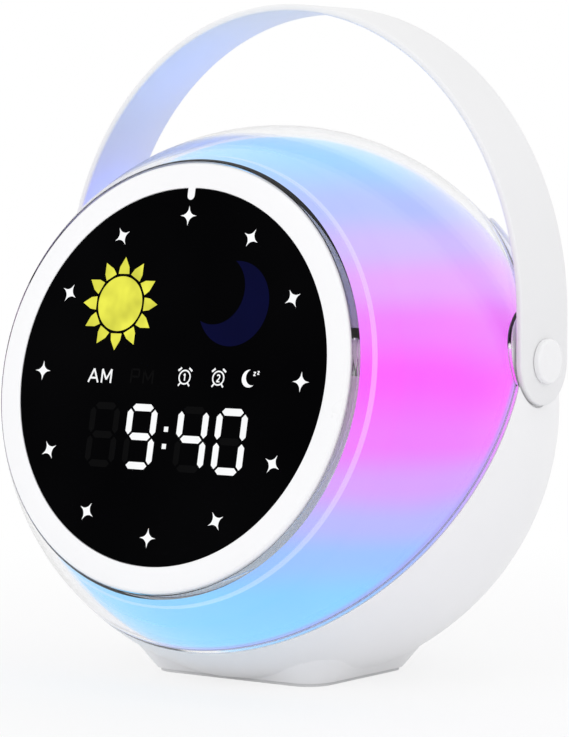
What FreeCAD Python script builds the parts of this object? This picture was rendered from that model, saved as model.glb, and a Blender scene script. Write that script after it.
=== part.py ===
import FreeCAD, Part
import math
import os
import re
import Sketcher

Vector = FreeCAD.Vector
Rotation = FreeCAD.Rotation
Placement = FreeCAD.Placement

# Every size of the alarm clock, in millimetres or degrees. The ball stands on a flat foot,
# the dial leans back by face_tilt, and the seam between the white bowl and the clear dome
# is a plane that leans by seam_tilt. "Depth" is measured along the dial's or the seam's axis.
SIZES = {
    # ball, seam and dial
    "ball_radius": 62.5,
    "bowl_wall": 2.2,
    "dome_wall": 2.0,
    "seam_tilt": 31.5,
    "seam_offset": 2.0,
    "seam_gap": 0.1,
    "face_tilt": 12.0,
    "face_proud": 0.22525,
    "face_drop": 0.4,
    # foot
    "foot_width": 47.0,
    "foot_depth": 38.5,
    "foot_corner": 6.5,
    "foot_flare": 40.0,
    "foot_rise": 11.5,
    "foot_cut": 3.3,
    "foot_floor": 2.2,
    "mat_thickness": 0.8,
    "mat_inset": 0.9,
    # milky light dome inside the clear dome
    "diffuser_gap": 0.7,
    "diffuser_wall": 1.8,
    "diffuser_setback": 2.2,
    "diffuser_mouth_gap": 0.6,
    "shoulder_radius": 52.0,
    "shoulder_depth": 0.9,
    # front ring and window
    "bezel_radius": 46.8,
    "bezel_slot": 0.2,
    "bezel_wall": 2.3,
    "bezel_depth": 10.6,
    "bezel_edge": 0.7,
    "ledge_thickness": 1.65,
    "ledge_reach": 2.3,
    "bezel_face": 5.7,
    "window_gap": 0.1,
    "window_thickness": 2.0,
    "window_bevel": 0.3,
    "key_width": 1.9,
    "key_reach": 2.7,
    "key_root": 0.1,
    "film_thickness": 0.25,
    "film_gap": 0.05,
    # dial print, seen as openings in the film
    "star_circle_radius": 35.0,
    "star_count": 12,
    "star_points": 4,
    "star_reach": 2.55,
    "star_waist": 0.62,
    "star_well_radius": 2.8,
    "sun_x": -15.7,
    "sun_y": 15.6,
    "sun_radius": 6.0,
    "sun_ray_reach": 10.2,
    "sun_ray_root": 7.2,
    "sun_ray_count": 12,
    "sun_ray_share": 0.36,
    "sun_gap": 0.5,
    "moon_x": 16.0,
    "moon_y": 18.4,
    "moon_radius": 6.9,
    "moon_bite": 6.0,
    "moon_bite_shift": 4.2,
    "moon_turn": 112.5,
    "icon_row_y": 0.2,
    "icon_width": 6.8,
    "icon_height": 3.6,
    "icon_pitch": 11.0,
    "icon_count": 5,
    "digit_x": 1.3,
    "digit_y": -13.4,
    "digit_pitch": 10.4,
    "pair_pitch": 24.2,
    "digit_width": 6.5,
    "digit_height": 12.6,
    "segment_width": 1.25,
    "segment_gap": 0.3,
    "colon_pitch": 3.7,
    "colon_width": 1.3435,
    # neck that carries the dial
    "neck_gap": 0.3,
    "neck_wall": 2.0,
    "neck_flange_width": 3.7,
    "neck_flange": 2.0,
    "dial_bay": 7.0,
    "board_thickness": 1.6,
    "board_gap": 0.4,
    "block_shoulder_gap": 0.1,
    "dial_screw_inset": 1.9,
    "dial_screw_count": 4,
    "dial_screw_length": 7.0,
    # carrier plate on the seam
    "plate_depth": 1.5,
    "plate_thickness": 2.0,
    "plate_rim_gap": 0.2,
    "plate_rim_wall": 2.1,
    "wire_hole_radius": 5.0,
    "plate_screw_inset": 7.1,
    "plate_screw_angle": 62.0,
    "plate_screw_length": 9.0,
    "post_radius": 3.2,
    "post_depth": 14.0,
    # coloured light ring
    "light_board_inset": 9.5,
    "light_board_gap": 0.4,
    "light_inset": 2.4,
    "light_count": 12,
    "light_length": 3.5,
    "light_breadth": 2.8,
    "light_thickness": 1.4,
    # control board
    "control_width": 64.0,
    "control_length": 40.0,
    "control_y": 14.0,
    "control_drop": 6.0,
    "control_screw_inset": 4.0,
    "standoff_radius": 3.0,
    "control_screw_length": 5.5,
    "processor_side": 10.0,
    "processor_height": 1.4,
    "sound_chip_length": 6.0,
    "sound_chip_width": 4.0,
    "sound_chip_height": 1.6,
    "capacitor_radius": 3.0,
    "capacitor_height": 6.5,
    # battery
    "cell_radius": 9.0,
    "cell_length": 65.0,
    "cell_gap": 0.3,
    "cell_cap_radius": 3.0,
    "cell_cap_height": 0.8,
    "holder_y": -29.0,
    "holder_wall": 2.0,
    "holder_clip": 3.0,
    "holder_lug": 8.0,
    "holder_lug_width": 12.0,
    "holder_mouth_share": 0.96,
    "holder_lug_height": 8.0,
    "holder_screw_length": 8.0,
    "head_clearance": 0.5,
    # speaker
    "speaker_inset": 10.5,
    "speaker_seat_radius": 19.0,
    "speaker_seat_wall": 2.2,
    "speaker_rim_radius": 18.6,
    "speaker_rim_thickness": 1.3,
    "speaker_basket_height": 6.5,
    "speaker_basket_radius": 16.0,
    "speaker_back_radius": 10.5,
    "speaker_bowl_wall": 0.9,
    "magnet_radius": 9.5,
    "magnet_height": 5.0,
    "cone_gap": 0.1,
    "cone_depth": 4.0,
    "cone_throat_radius": 4.5,
    "cone_wall": 0.4,
    "clamp_outer_radius": 20.6,
    "clamp_gap": 0.6,
    "clamp_thickness": 1.3,
    "clamp_lug_radius": 3.4,
    "speaker_post_circle_radius": 22.8,
    "speaker_post_angle": 60.0,
    "speaker_post_count": 3,
    "speaker_post_radius": 2.9,
    "speaker_screw_length": 6.5,
    "grille_hole_radius": 1.1,
    "grille_pitch": 3.7,
    "grille_rings": 3,
    # charging socket
    "port_rise": 4.0,
    "port_width": 8.94,
    "port_height": 3.26,
    "port_length": 7.3,
    "port_skin": 0.35,
    "port_mouth_inset": 1.1,
    "port_clearance": 0.25,
    "port_round_share": 2.1,
    "port_recess_width": 13.0,
    "port_recess_height": 7.0,
    "port_recess_depth": 0.7,
    "tongue_width": 6.6,
    "tongue_length": 5.84,
    "tongue_height": 0.7,
    "port_board_width": 17.0,
    "port_board_length": 15.0,
    "port_board_inset": 2.0,
    "shelf_width": 20.0,
    "shelf_length": 22.0,
    "shelf_thickness": 3.0,
    "port_screw_length": 3.6,
    "port_screw_offset": 6.2,
    # buttons along the top of the bowl
    "button_count": 5,
    "button_step": 19.25,
    "button_dip": 6.25,
    "button_radius": 4.5,
    "button_gap": 0.25,
    "button_proud": 0.9,
    "button_edge": 0.45,
    "button_flange_radius": 5.6,
    "button_flange_thickness": 1.3,
    "button_flange_gap": 0.35,
    "button_travel": 0.5,
    "button_play": 0.1,
    "button_stem_radius": 1.8,
    "switch_inset": 10.7,
    "switch_side": 6.0,
    "switch_height": 3.5,
    "plunger_radius": 1.7,
    "plunger_height": 0.7,
    "flex_thickness": 0.4,
    "flex_half_width": 3.6,
    "flex_reach": 44.5,
    "saddle_thickness": 1.8,
    "saddle_half_width": 6.6,
    "peg_root": 2.3,
    "peg_inset": 0.6,
    "saddle_reach": 46.5,
    "saddle_peg_radius": 1.4,
    "saddle_peg_angle": 29.0,
    # handle and its pivots
    "pivot_back": 10.3,
    "pivot_rise": 11.2,
    "handle_overhang": 0.6,
    "handle_thickness": 1.6,
    "handle_width": 19.2,
    "arch_rise": 21.35,
    "arch_height": 68.1,
    "pivot_pin_radius": 3.0,
    "pivot_play": 0.05,
    "pivot_press": 0.02,
    "cap_radius": 4.85,
    "cap_gap": 0.1,
    "cap_height": 1.5,
    "cap_edge": 0.5,
    "hub_radius": 6.0,
    "hub_gap": 0.3,
    "ear_radius": 10.2,
    "ear_offset": 0.6,
    "ear_thickness": 2.2,
    "ear_gap": 0.25,
    "hub_length": 7.7,
    "washer_radius": 4.6,
    "washer_thickness": 0.8,
    "pivot_screw_length": 8.0,
    # self-tapping screws
    "screw_radius": 1.0,
    "screw_head_radius": 1.9,
    "screw_head_height": 1.3,
    "screw_hole_gap": 0.2,
    "screw_thread_gap": 0.02,
}

doc = FreeCAD.newDocument("night_light_alarm_clock")
sheet = doc.addObject("Spreadsheet::Sheet", "Sizes")
for row, (alias, value) in enumerate(SIZES.items(), start=1):
    sheet.set(f"A{row}", alias.replace("_", " "))
    sheet.set(f"B{row}", str(value))
    sheet.setAlias(f"B{row}", alias)
doc.recompute()

NAME_PATTERN = re.compile(r"[A-Za-z_]\w*")
NODES = {}


def linked(formula):
    """Formula text with each size's name pointing at its cell in the sheet."""
    return NAME_PATTERN.sub(lambda m: "Sizes." + m[0] if m[0] in SIZES else m[0], str(formula))


def size(formula):
    """Number that a formula of sizes has now, read from the sheet."""
    return float(sheet.evalExpression(str(formula)))


def bind(item, **formulas):
    for prop, formula in formulas.items():
        item.setExpression(prop, linked(formula))


def point(x, y, z):
    return Vector(size(x), size(y), size(z))


def shift(x=0, y=0, z=0, turn=None):
    return Placement(point(x, y, z), turn or Rotation())


def about(axis, degrees):
    return Rotation(Vector(*axis), degrees)


X_AXIS = (1, 0, 0)
Y_AXIS = (0, 1, 0)
Z_AXIS = (0, 0, 1)
RIGHT_ANGLE = 90
FULL_TURN = 360

# places that follow from the ball, the front ring and the handle
CENTRE_HEIGHT = "(ball_radius - foot_cut + mat_thickness)"
FACE_FRONT = "(sqrt(ball_radius ^ 2 - bezel_radius ^ 2) + face_proud)"
WINDOW_RADIUS = "(bezel_radius - bezel_face - window_gap)"
LEDGE_RADIUS = "(bezel_radius - bezel_face - ledge_reach)"
NECK_RADIUS = "(bezel_radius - bezel_wall - neck_gap)"
PLATE_RIM = "(ball_radius - bowl_wall - plate_rim_gap)"
PLATE_SCREW_CIRCLE = "(ball_radius - plate_screw_inset)"
LIGHT_BOARD_RADIUS = "(ball_radius - light_board_inset)"
LIGHT_CIRCLE = f"({LIGHT_BOARD_RADIUS} - light_inset)"
SPEAKER_DEPTH = "(ball_radius - speaker_inset)"
SWITCH_FOOT = "(ball_radius - switch_inset)"
HANDLE_OUTSIDE = "(ball_radius + handle_overhang)"
HANDLE_INSIDE = f"({HANDLE_OUTSIDE} - handle_thickness)"
EAR_FACE = f"({HANDLE_INSIDE} - ear_offset)"
HUB_FACE = f"({HANDLE_INSIDE} - hub_gap)"
HUB_DEPTH = f"({HUB_FACE} - hub_length)"

# frames: the table, the ball's centre, the seam's axis, and the dial's axis
TABLE = Placement()
BALL = shift(0, 0, CENTRE_HEIGHT)
SEAM = BALL.multiply(Placement(Vector(), about(X_AXIS, RIGHT_ANGLE - size("seam_tilt"))))
FACE_TURN = Placement(Vector(), about(X_AXIS, RIGHT_ANGLE - size("face_tilt")))
FACE = BALL.multiply(FACE_TURN).multiply(shift(0, "-face_drop", 0))


def primitive(kind, name, frame, at=(0, 0, 0), turn=None, **formulas):
    item = doc.addObject("Part::" + kind, name)
    bind(item, **formulas)
    item.Placement = frame.multiply(shift(*at, turn=turn))
    return item


def cylinder(name, frame, radius, height, at=(0, 0, 0), turn=None):
    return primitive("Cylinder", name, frame, at, turn, Radius=radius, Height=height)


def ball(name, frame, radius):
    return primitive("Sphere", name, frame, Radius=radius)


def block(name, frame, width, depth, height, at=(0, 0, 0), turn=None):
    """Box centred on its place in X and Y, standing on it in Z."""
    turn = turn or Rotation()
    corner = turn.multVec(Vector(-size(width) / 2, -size(depth) / 2, 0))
    item = primitive("Box", name, frame, at, turn, Length=width, Width=depth, Height=height)
    item.Placement = frame.multiply(Placement(point(*at).add(corner), turn))
    return item


def fuse(name, *parts):
    item = doc.addObject("Part::MultiFuse", name)
    item.Shapes = list(parts)
    return item


def common(name, *parts):
    item = doc.addObject("Part::MultiCommon", name)
    item.Shapes = list(parts)
    return item


def cut(name, base, *tools):
    item = doc.addObject("Part::Cut", name)
    item.Base = base
    item.Tool = tools[0] if len(tools) == 1 else fuse(name + "_tools", *tools)
    return item


def group(name, parts):
    item = doc.addObject("Part::Compound", name)
    item.Links = list(parts)
    return item


def rounded(name, base, radius, wanted):
    """Round the edges of base for which wanted(edge) is true."""
    doc.recompute()
    item = doc.addObject("Part::Fillet", name)
    item.Base = base
    item.Edges = [(index, size(radius), size(radius))
                  for index, edge in enumerate(base.Shape.Edges, start=1) if wanted(edge)]
    return item


def node(name, item):
    item.Label = name
    NODES[name] = item
    return item


def sketch_on(body, role, name):
    sketch = body.newObject("Sketcher::SketchObject", name)
    plane = [plane for plane in body.Origin.OriginFeatures if plane.Role == role][0]
    sketch.AttachmentSupport = [(plane, "")]
    sketch.MapMode = "FlatFace"
    return sketch


def pin_point(sketch, geometry, end, formulas):
    """Tie one point of the sketch to its two coordinates."""
    for kind, axis, formula in zip(("DistanceX", "DistanceY"), (-2, -1), formulas):
        value = size(formula)
        if value == 0:
            sketch.addConstraint(Sketcher.Constraint("PointOnObject", geometry, end, axis))
            continue
        index = sketch.addConstraint(Sketcher.Constraint(kind, -1, 1, geometry, end, value))
        sketch.setExpression(f"Constraints[{index}]", linked(formula))


def polygon(sketch, corners):
    places = [Vector(size(x), size(y), 0) for x, y in corners]
    first = sketch.GeometryCount
    count = len(places)
    for index in range(count):
        sketch.addGeometry(Part.LineSegment(places[index], places[(index + 1) % count]), False)
    for index in range(count):
        following = first + (index + 1) % count
        sketch.addConstraint(Sketcher.Constraint("Coincident", first + index, 2, following, 1))
    for index, corner in enumerate(corners):
        pin_point(sketch, first + index, 1, corner)


def turned(name, frame, corners):
    """Body revolved about its Z axis from corners given as (radius, height)."""
    body = doc.addObject("PartDesign::Body", name)
    sketch = sketch_on(body, "XZ_Plane", name + "_profile")
    polygon(sketch, corners)
    revolution = body.newObject("PartDesign::Revolution", name + "_turn")
    revolution.Profile = sketch
    revolution.ReferenceAxis = (sketch, ["V_Axis"])
    revolution.Angle = FULL_TURN
    body.Tip = revolution
    body.Placement = frame
    return body


def rounded_rectangle(sketch, width, depth, corner):
    half_x, half_y, radius = f"({width}) / 2", f"({depth}) / 2", f"({corner})"
    arcs = []
    for step, (sx, sy) in enumerate(((1, 1), (-1, 1), (-1, -1), (1, -1))):
        centre = (f"{sx} * ({half_x} - {radius})", f"{sy} * ({half_y} - {radius})")
        circle = Part.Circle(Vector(size(centre[0]), size(centre[1]), 0), Vector(*Z_AXIS), size(radius))
        start = step * math.pi / 2
        arcs.append((sketch.addGeometry(Part.ArcOfCircle(circle, start, start + math.pi / 2), False), centre))
    for index, (arc, centre) in enumerate(arcs):
        following = arcs[(index + 1) % len(arcs)][0]
        start = sketch.getPoint(arc, 2)
        end = sketch.getPoint(following, 1)
        line = sketch.addGeometry(Part.LineSegment(start, end), False)
        sketch.addConstraint(Sketcher.Constraint("Tangent", arc, 2, line, 1))
        sketch.addConstraint(Sketcher.Constraint("Tangent", line, 2, following, 1))
        pin_point(sketch, arc, 3, centre)
        value = sketch.addConstraint(Sketcher.Constraint("Radius", arc, size(radius)))
        sketch.setExpression(f"Constraints[{value}]", linked(radius))


def padded(name, frame, width, depth, corner, height, taper=0):
    """Rounded rectangle standing on its frame, leaning outwards by taper."""
    body = doc.addObject("PartDesign::Body", name)
    sketch = sketch_on(body, "XY_Plane", name + "_outline")
    rounded_rectangle(sketch, width, depth, corner)
    pad = body.newObject("PartDesign::Pad", name + "_pad")
    pad.Profile = sketch
    bind(pad, Length=height)
    if taper:
        bind(pad, TaperAngle=taper)
    body.Tip = pad
    body.Placement = frame
    return body


def screw(name, frame, at, length, turn=None):
    """Screw whose shaft runs along +Z from its place, with the head below."""
    place = frame.multiply(shift(*at, turn=turn))
    corners = [(0, "-screw_head_height"), ("screw_head_radius", "-screw_head_height"),
               ("screw_head_radius", 0), ("screw_radius", 0), ("screw_radius", length), (0, length)]
    return turned(name, place, corners)


def pilot(name, frame, at, length, turn=None, loose=False):
    """Hole for a screw, from its place along +Z."""
    gap = "screw_hole_gap" if loose else "screw_thread_gap"
    return cylinder(name, frame, f"screw_radius + {gap}", length, at, turn)


def solid_of(name, shape):
    item = doc.addObject("Part::Feature", name)
    item.Shape = shape
    return item


UPSIDE_DOWN = about(X_AXIS, 2 * RIGHT_ANGLE)
HUGE = "3 * ball_radius"
SIDES = {"left": -1, "right": 1}


def below_seam(name, level):
    """Everything behind the plane at the given depth along the seam's axis."""
    return cylinder(name, SEAM, HUGE, HUGE, (0, 0, f"{level} - {HUGE}"))


def above_seam(name, level):
    return cylinder(name, SEAM, HUGE, HUGE, (0, 0, level))


# levels along the dial's axis, from the front back
WINDOW_BACK = f"{FACE_FRONT} - window_thickness"
LEDGE_BACK = f"{WINDOW_BACK} - ledge_thickness"
FILM_BACK = f"{WINDOW_BACK} - film_thickness"
FLANGE_TOP = f"{LEDGE_BACK} - dial_bay"
DIAL_BOARD_TOP = f"{FLANGE_TOP} + board_thickness"
NECK_BORE = f"{NECK_RADIUS} - neck_wall"

# levels along the seam's axis
PLATE_BACK = "plate_depth - plate_thickness"
RIM_TOP = "seam_offset + diffuser_setback"
LIGHT_BOARD_TOP = "plate_depth + board_thickness"
CONTROL_TOP = f"{PLATE_BACK} - control_drop"
CONTROL_BACK = f"{CONTROL_TOP} - board_thickness"

# the handle's pivot
PIVOT_Z = f"{CENTRE_HEIGHT} + pivot_rise"


def sideways(side):
    """Turn that points +Z out of the clock on the given side."""
    return about(Y_AXIS, SIDES[side] * RIGHT_ANGLE)


def pivot_cylinder(name, side, radius, start, end):
    """Cylinder about the handle's axis between two distances from the middle."""
    at = (f"{SIDES[side]} * ({start})", "pivot_back", PIVOT_Z)
    return cylinder(name, TABLE, radius, f"({end}) - ({start})", at, sideways(side))


def polar(count, radius, first=0.0):
    """Places on a circle, clockwise from the top, as (x, y, degrees)."""
    steps = int(size(count))
    for step in range(steps):
        degrees = first + step * FULL_TURN / steps
        angle = math.radians(degrees)
        yield size(radius) * math.sin(angle), size(radius) * math.cos(angle), degrees


BUTTON_NUMBERS = range(1, int(size("button_count")) + 1)


def button_frame(number):
    """Frame at the ball's centre with +Z out along one button's axis."""
    middle = (int(size("button_count")) + 1) / 2
    sweep = (number - middle) * size("button_step")
    turn = about(Z_AXIS, -sweep).multiply(about(X_AXIS, -(RIGHT_ANGLE + size("button_dip"))))
    return SEAM.multiply(Placement(Vector(), turn))


def port_frame():
    """Frame on the ball's axis at the port's height, with +Z out to the back."""
    return BALL.multiply(shift(0, 0, "port_rise", turn=about(X_AXIS, -RIGHT_ANGLE)))


def plate_screw_places():
    for degrees in (size("plate_screw_angle"), 2 * RIGHT_ANGLE - size("plate_screw_angle")):
        for side in (-1, 1):
            angle = math.radians(side * degrees)
            reach = size(PLATE_SCREW_CIRCLE)
            yield reach * math.sin(angle), reach * math.cos(angle)


def control_screw_places():
    for sx in (-1, 1):
        for sy in (-1, 1):
            yield (size(f"{sx} * (control_width / 2 - control_screw_inset)"),
                   size(f"control_y + {sy} * (control_length / 2 - control_screw_inset)"))


def holder_screw_places():
    for side in (-1, 1):
        yield size(f"{side} * (cell_length / 2 + cell_gap + holder_wall + holder_lug / 2)"), size("holder_y")


def make_foot_mat():
    mat = padded("foot_mat", TABLE, "foot_width - 2 * mat_inset", "foot_depth - 2 * mat_inset",
                 "foot_corner - mat_inset", "mat_thickness")
    node("foot_mat", mat)


def speaker_posts():
    return list(polar("speaker_post_count", "speaker_post_circle_radius", size("speaker_post_angle")))


def port_tools():
    """Opening and shallow recess for the charging socket."""
    frame = port_frame()
    opening = block("port_opening", frame, "port_width + 2 * port_clearance",
                    "port_height + 2 * port_clearance", "ball_radius / 2", (0, 0, "ball_radius * 0.8"))
    recess = block("port_recess", frame, "port_recess_width", "port_recess_height", "ball_radius / 4",
                   (0, 0, "ball_radius - port_recess_depth"))
    rounding = rounded("port_recess_round", recess, "port_recess_height / port_round_share",
                       lambda edge: is_along(edge, Vector(*Y_AXIS)))
    return [opening, rounding]


def is_along(edge, direction):
    start, end = edge.Vertexes[0].Point, edge.Vertexes[-1].Point
    run = end.sub(start)
    return run.Length > 0 and abs(run.normalize().dot(direction)) > 0.999


def make_rear_shell():
    """White bowl with its foot, bosses and openings."""
    foot = padded("foot_flare_body", shift(0, 0, "mat_thickness"), "foot_width", "foot_depth",
                  "foot_corner", "foot_rise", "foot_flare")
    outside = common("bowl_outside", fuse("bowl_and_foot", ball("bowl_ball", SEAM, "ball_radius"), foot),
                     below_seam("bowl_limit", "seam_offset"),
                     block("above_foot", TABLE, HUGE, HUGE, HUGE, (0, 0, "mat_thickness")))
    hollow = common("bowl_hollow", ball("hollow_ball", SEAM, "ball_radius - bowl_wall"),
                    block("above_floor", TABLE, HUGE, HUGE, HUGE, (0, 0, "mat_thickness + foot_floor")))
    bowl = cut("bowl", outside, hollow)

    bosses = []
    for number, (x, y) in enumerate(plate_screw_places(), start=1):
        depth = f"({PLATE_BACK}) - post_depth"
        bosses.append(cylinder(f"plate_post_{number}", SEAM, "post_radius", "post_depth", (x, y, depth)))
        angle = math.degrees(math.atan2(y, x))
        rib = block(f"plate_rib_{number}", SEAM, f"ball_radius - {PLATE_SCREW_CIRCLE}", "bowl_wall",
                    "post_depth", (x * (1 + size(f"ball_radius / {PLATE_SCREW_CIRCLE}")) / 2,
                                   y * (1 + size(f"ball_radius / {PLATE_SCREW_CIRCLE}")) / 2, depth),
                    about(Z_AXIS, angle))
        bosses.append(rib)
    seat_height = f"ball_radius - {SPEAKER_DEPTH}"
    seat = cut("speaker_seat",
               cylinder("seat_outside", SEAM, "speaker_seat_radius", seat_height, (0, 0, "-ball_radius")),
               cylinder("seat_inside", SEAM, "speaker_seat_radius - speaker_seat_wall",
                        seat_height, (0, 0, "-ball_radius")))
    bosses.append(seat)
    post_top = f"speaker_rim_thickness - {SPEAKER_DEPTH}"
    for number, (x, y, _) in enumerate(speaker_posts(), start=1):
        bosses.append(cylinder(f"speaker_post_{number}", SEAM, "speaker_post_radius",
                               f"{post_top} + ball_radius", (x, y, "-ball_radius")))
    shelf_top = f"{CENTRE_HEIGHT} + port_rise - port_height / 2 - board_thickness"
    bosses.append(block("port_shelf", TABLE, "shelf_width", "shelf_length", "shelf_thickness",
                        (0, "ball_radius - shelf_length / 2", f"{shelf_top} - shelf_thickness")))
    trimmed = common("bowl_bosses", fuse("all_bosses", *bosses),
                     ball("boss_limit", SEAM, "ball_radius - bowl_wall / 2"))

    pivots, holes = [], []
    for side in SIDES:
        ear = common(f"ear_{side}",
                     pivot_cylinder(f"ear_disc_{side}", side, "ear_radius",
                                    f"{EAR_FACE} - ear_thickness", EAR_FACE),
                     ball(f"ear_limit_{side}", BALL, "ball_radius"))
        hub = pivot_cylinder(f"hub_{side}", side, "hub_radius", HUB_DEPTH, HUB_FACE)
        pivots += [ear, hub]
        recess = cut(f"ear_recess_{side}",
                     pivot_cylinder(f"ear_clear_{side}", side, "ear_radius", EAR_FACE,
                                    f"{EAR_FACE} + ball_radius / 4"),
                     pivot_cylinder(f"hub_keep_{side}", side, "hub_radius", EAR_FACE, HUB_FACE))
        holes += [recess, pivot_cylinder(f"hub_bore_{side}", side, "pivot_pin_radius + pivot_press",
                                         f"{HUB_DEPTH} / 2", HANDLE_INSIDE)]
    for number, (x, y) in enumerate(plate_screw_places(), start=1):
        holes.append(pilot(f"plate_pilot_{number}", SEAM, (x, y, PLATE_BACK), "plate_screw_length",
                           UPSIDE_DOWN))
    for number, (x, y, _) in enumerate(speaker_posts(), start=1):
        holes.append(pilot(f"speaker_pilot_{number}", SEAM, (x, y, post_top),
                           "speaker_screw_length", UPSIDE_DOWN))
    for number in BUTTON_NUMBERS:
        holes.append(cylinder(f"button_hole_{number}", button_frame(number),
                              "button_radius + button_gap", "ball_radius / 2", (0, 0, "ball_radius * 0.8")))
    for number, (x, y) in enumerate(grille_places(), start=1):
        holes.append(cylinder(f"grille_hole_{number}", SEAM, "grille_hole_radius", "ball_radius / 4",
                              (x, y, "-ball_radius * 1.1")))
    for side in SIDES:
        holes.append(pilot(f"port_pilot_{side}", TABLE, port_screw_place(side, shelf_top),
                           "port_screw_length - board_thickness", UPSIDE_DOWN))
    holes += port_tools()
    whole = fuse("bowl_with_bosses", bowl, trimmed, *pivots)
    node("rear_shell", cut("rear_shell", whole, *holes))


def port_screw_place(side, level):
    return (f"{SIDES[side]} * port_screw_offset",
            "ball_radius - port_mouth_inset - port_length - screw_head_radius - port_clearance", level)


def grille_places():
    """Hexagonal rings of holes about the speaker's axis."""
    rings = int(size("grille_rings"))
    pitch = size("grille_pitch")
    for row in range(-rings, rings + 1):
        for column in range(-rings, rings + 1):
            if abs(row + column) <= rings:
                yield pitch * (column + row / 2), pitch * row * math.sqrt(3) / 2


def make_clear_shell():
    """Clear outer dome between the seam and the front ring."""
    skin = cut("clear_skin", ball("clear_outside", FACE_BALL, "ball_radius"),
               ball("clear_inside", FACE_BALL, "ball_radius - dome_wall"))
    trimmed = common("clear_trimmed", skin, above_seam("clear_limit", "seam_offset + seam_gap"))
    mouth = cylinder("clear_mouth", FACE, "bezel_radius + bezel_slot", "2 * ball_radius")
    notches = [pivot_cylinder(f"clear_notch_{side}", side, "ear_radius + ear_gap",
                              "ball_radius * 0.7", "ball_radius * 1.1") for side in SIDES]
    node("clear_shell", cut("clear_shell", trimmed, mouth, *notches))


def make_diffuser():
    """Milky dome inside the clear one, with a shoulder near the front ring."""
    radius = "ball_radius - dome_wall - diffuser_gap"
    skin = cut("diffuser_skin", ball("diffuser_outside", FACE_BALL, radius),
               ball("diffuser_inside", FACE_BALL, f"{radius} - diffuser_wall"))
    trimmed = common("diffuser_trimmed", skin, above_seam("diffuser_limit", RIM_TOP))
    mouth = cylinder("diffuser_mouth", FACE, "bezel_radius + diffuser_mouth_gap", "2 * ball_radius")
    collar = cylinder("shoulder_collar", FACE, "shoulder_radius", "2 * ball_radius")
    shoulder = cut("shoulder_step_ring", collar,
                   ball("shoulder_ball", FACE_BALL, f"{radius} - shoulder_depth"))
    notches = [pivot_cylinder(f"diffuser_notch_{side}", side, "ear_radius + ear_gap",
                              "ball_radius * 0.7", "ball_radius * 1.1") for side in SIDES]
    node("diffuser", cut("diffuser", trimmed, mouth, shoulder, *notches))


FACE_BALL = BALL.multiply(FACE_TURN)


def make_bezel_ring():
    """White front ring: flat face, window ledge, and a skirt over the neck."""
    inner = f"{WINDOW_RADIUS} + window_gap"
    ring = turned("bezel_turned", FACE, [
        (inner, FACE_FRONT),
        ("bezel_radius - bezel_edge", FACE_FRONT),
        ("bezel_radius", f"{FACE_FRONT} - bezel_edge"),
        ("bezel_radius", f"{FACE_FRONT} - bezel_depth"),
        ("bezel_radius - bezel_wall", f"{FACE_FRONT} - bezel_depth"),
        ("bezel_radius - bezel_wall", LEDGE_BACK),
        (LEDGE_RADIUS, LEDGE_BACK),
        (LEDGE_RADIUS, WINDOW_BACK),
        (inner, WINDOW_BACK),
    ])
    reach = "key_reach + window_gap"
    key = block("bezel_key", FACE, "key_width", f"{reach} - key_width / 2", "window_thickness",
                (0, f"{inner} + key_root - ({reach} - key_width / 2) / 2", WINDOW_BACK))
    tip = cylinder("bezel_key_tip", FACE, "key_width / 2", "window_thickness",
                   (0, f"{inner} + key_root - ({reach} - key_width / 2)", WINDOW_BACK))
    node("bezel_ring", fuse("bezel_ring", ring, key, tip))


def make_display_window():
    """Dark window with a bevelled edge and a notch for the ring's key."""
    disc = turned("window_turned", FACE, [
        (0, WINDOW_BACK),
        (WINDOW_RADIUS, WINDOW_BACK),
        (WINDOW_RADIUS, f"{FACE_FRONT} - window_bevel"),
        (f"{WINDOW_RADIUS} - window_bevel", FACE_FRONT),
        (0, FACE_FRONT),
    ])
    width = "key_width + 2 * window_gap"
    depth = "key_reach + 2 * window_gap"
    slot = block("window_slot", FACE, width, depth, "3 * window_thickness",
                 (0, f"{WINDOW_RADIUS} + window_gap - key_reach + key_width / 2 + ({depth}) / 2",
                  f"{WINDOW_BACK} - window_thickness"))
    tip = cylinder("window_slot_tip", FACE, f"({width}) / 2", "3 * window_thickness",
                   (0, f"{WINDOW_RADIUS} + window_gap - key_reach + key_width / 2",
                    f"{WINDOW_BACK} - window_thickness"))
    node("display_window", cut("display_window", disc, slot, tip))


def closed_wire(corners):
    places = [Vector(x, y, 0) for x, y in corners]
    return Part.makePolygon(places + places[:1])


def circle_wire(x, y, radius):
    return Part.Wire(Part.makeCircle(radius, Vector(x, y, 0)))


def rectangle_wire(x, y, width, height):
    return closed_wire([(x + sx * width / 2, y + sy * height / 2)
                        for sx, sy in ((-1, -1), (1, -1), (1, 1), (-1, 1))])


def star_wire(x, y, reach, waist, points, first):
    """Star with the given number of points, its first one at first degrees from the top."""
    corners = []
    for step in range(2 * points):
        angle = math.radians(first + step * 2 * RIGHT_ANGLE / points)
        radius = reach if step % 2 == 0 else waist
        corners.append((x + radius * math.sin(angle), y + radius * math.cos(angle)))
    return closed_wire(corners)


def segment_wire(x, y, length, upright):
    """Six-sided bar of a digit."""
    half, thin = length / 2 - size("segment_gap"), size("segment_width") / 2
    corners = [(-half, 0), (thin - half, thin), (half - thin, thin), (half, 0),
               (half - thin, -thin), (thin - half, -thin)]
    if upright:
        corners = [(b, a) for a, b in corners]
    return closed_wire([(x + a, y + b) for a, b in corners])


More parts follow.
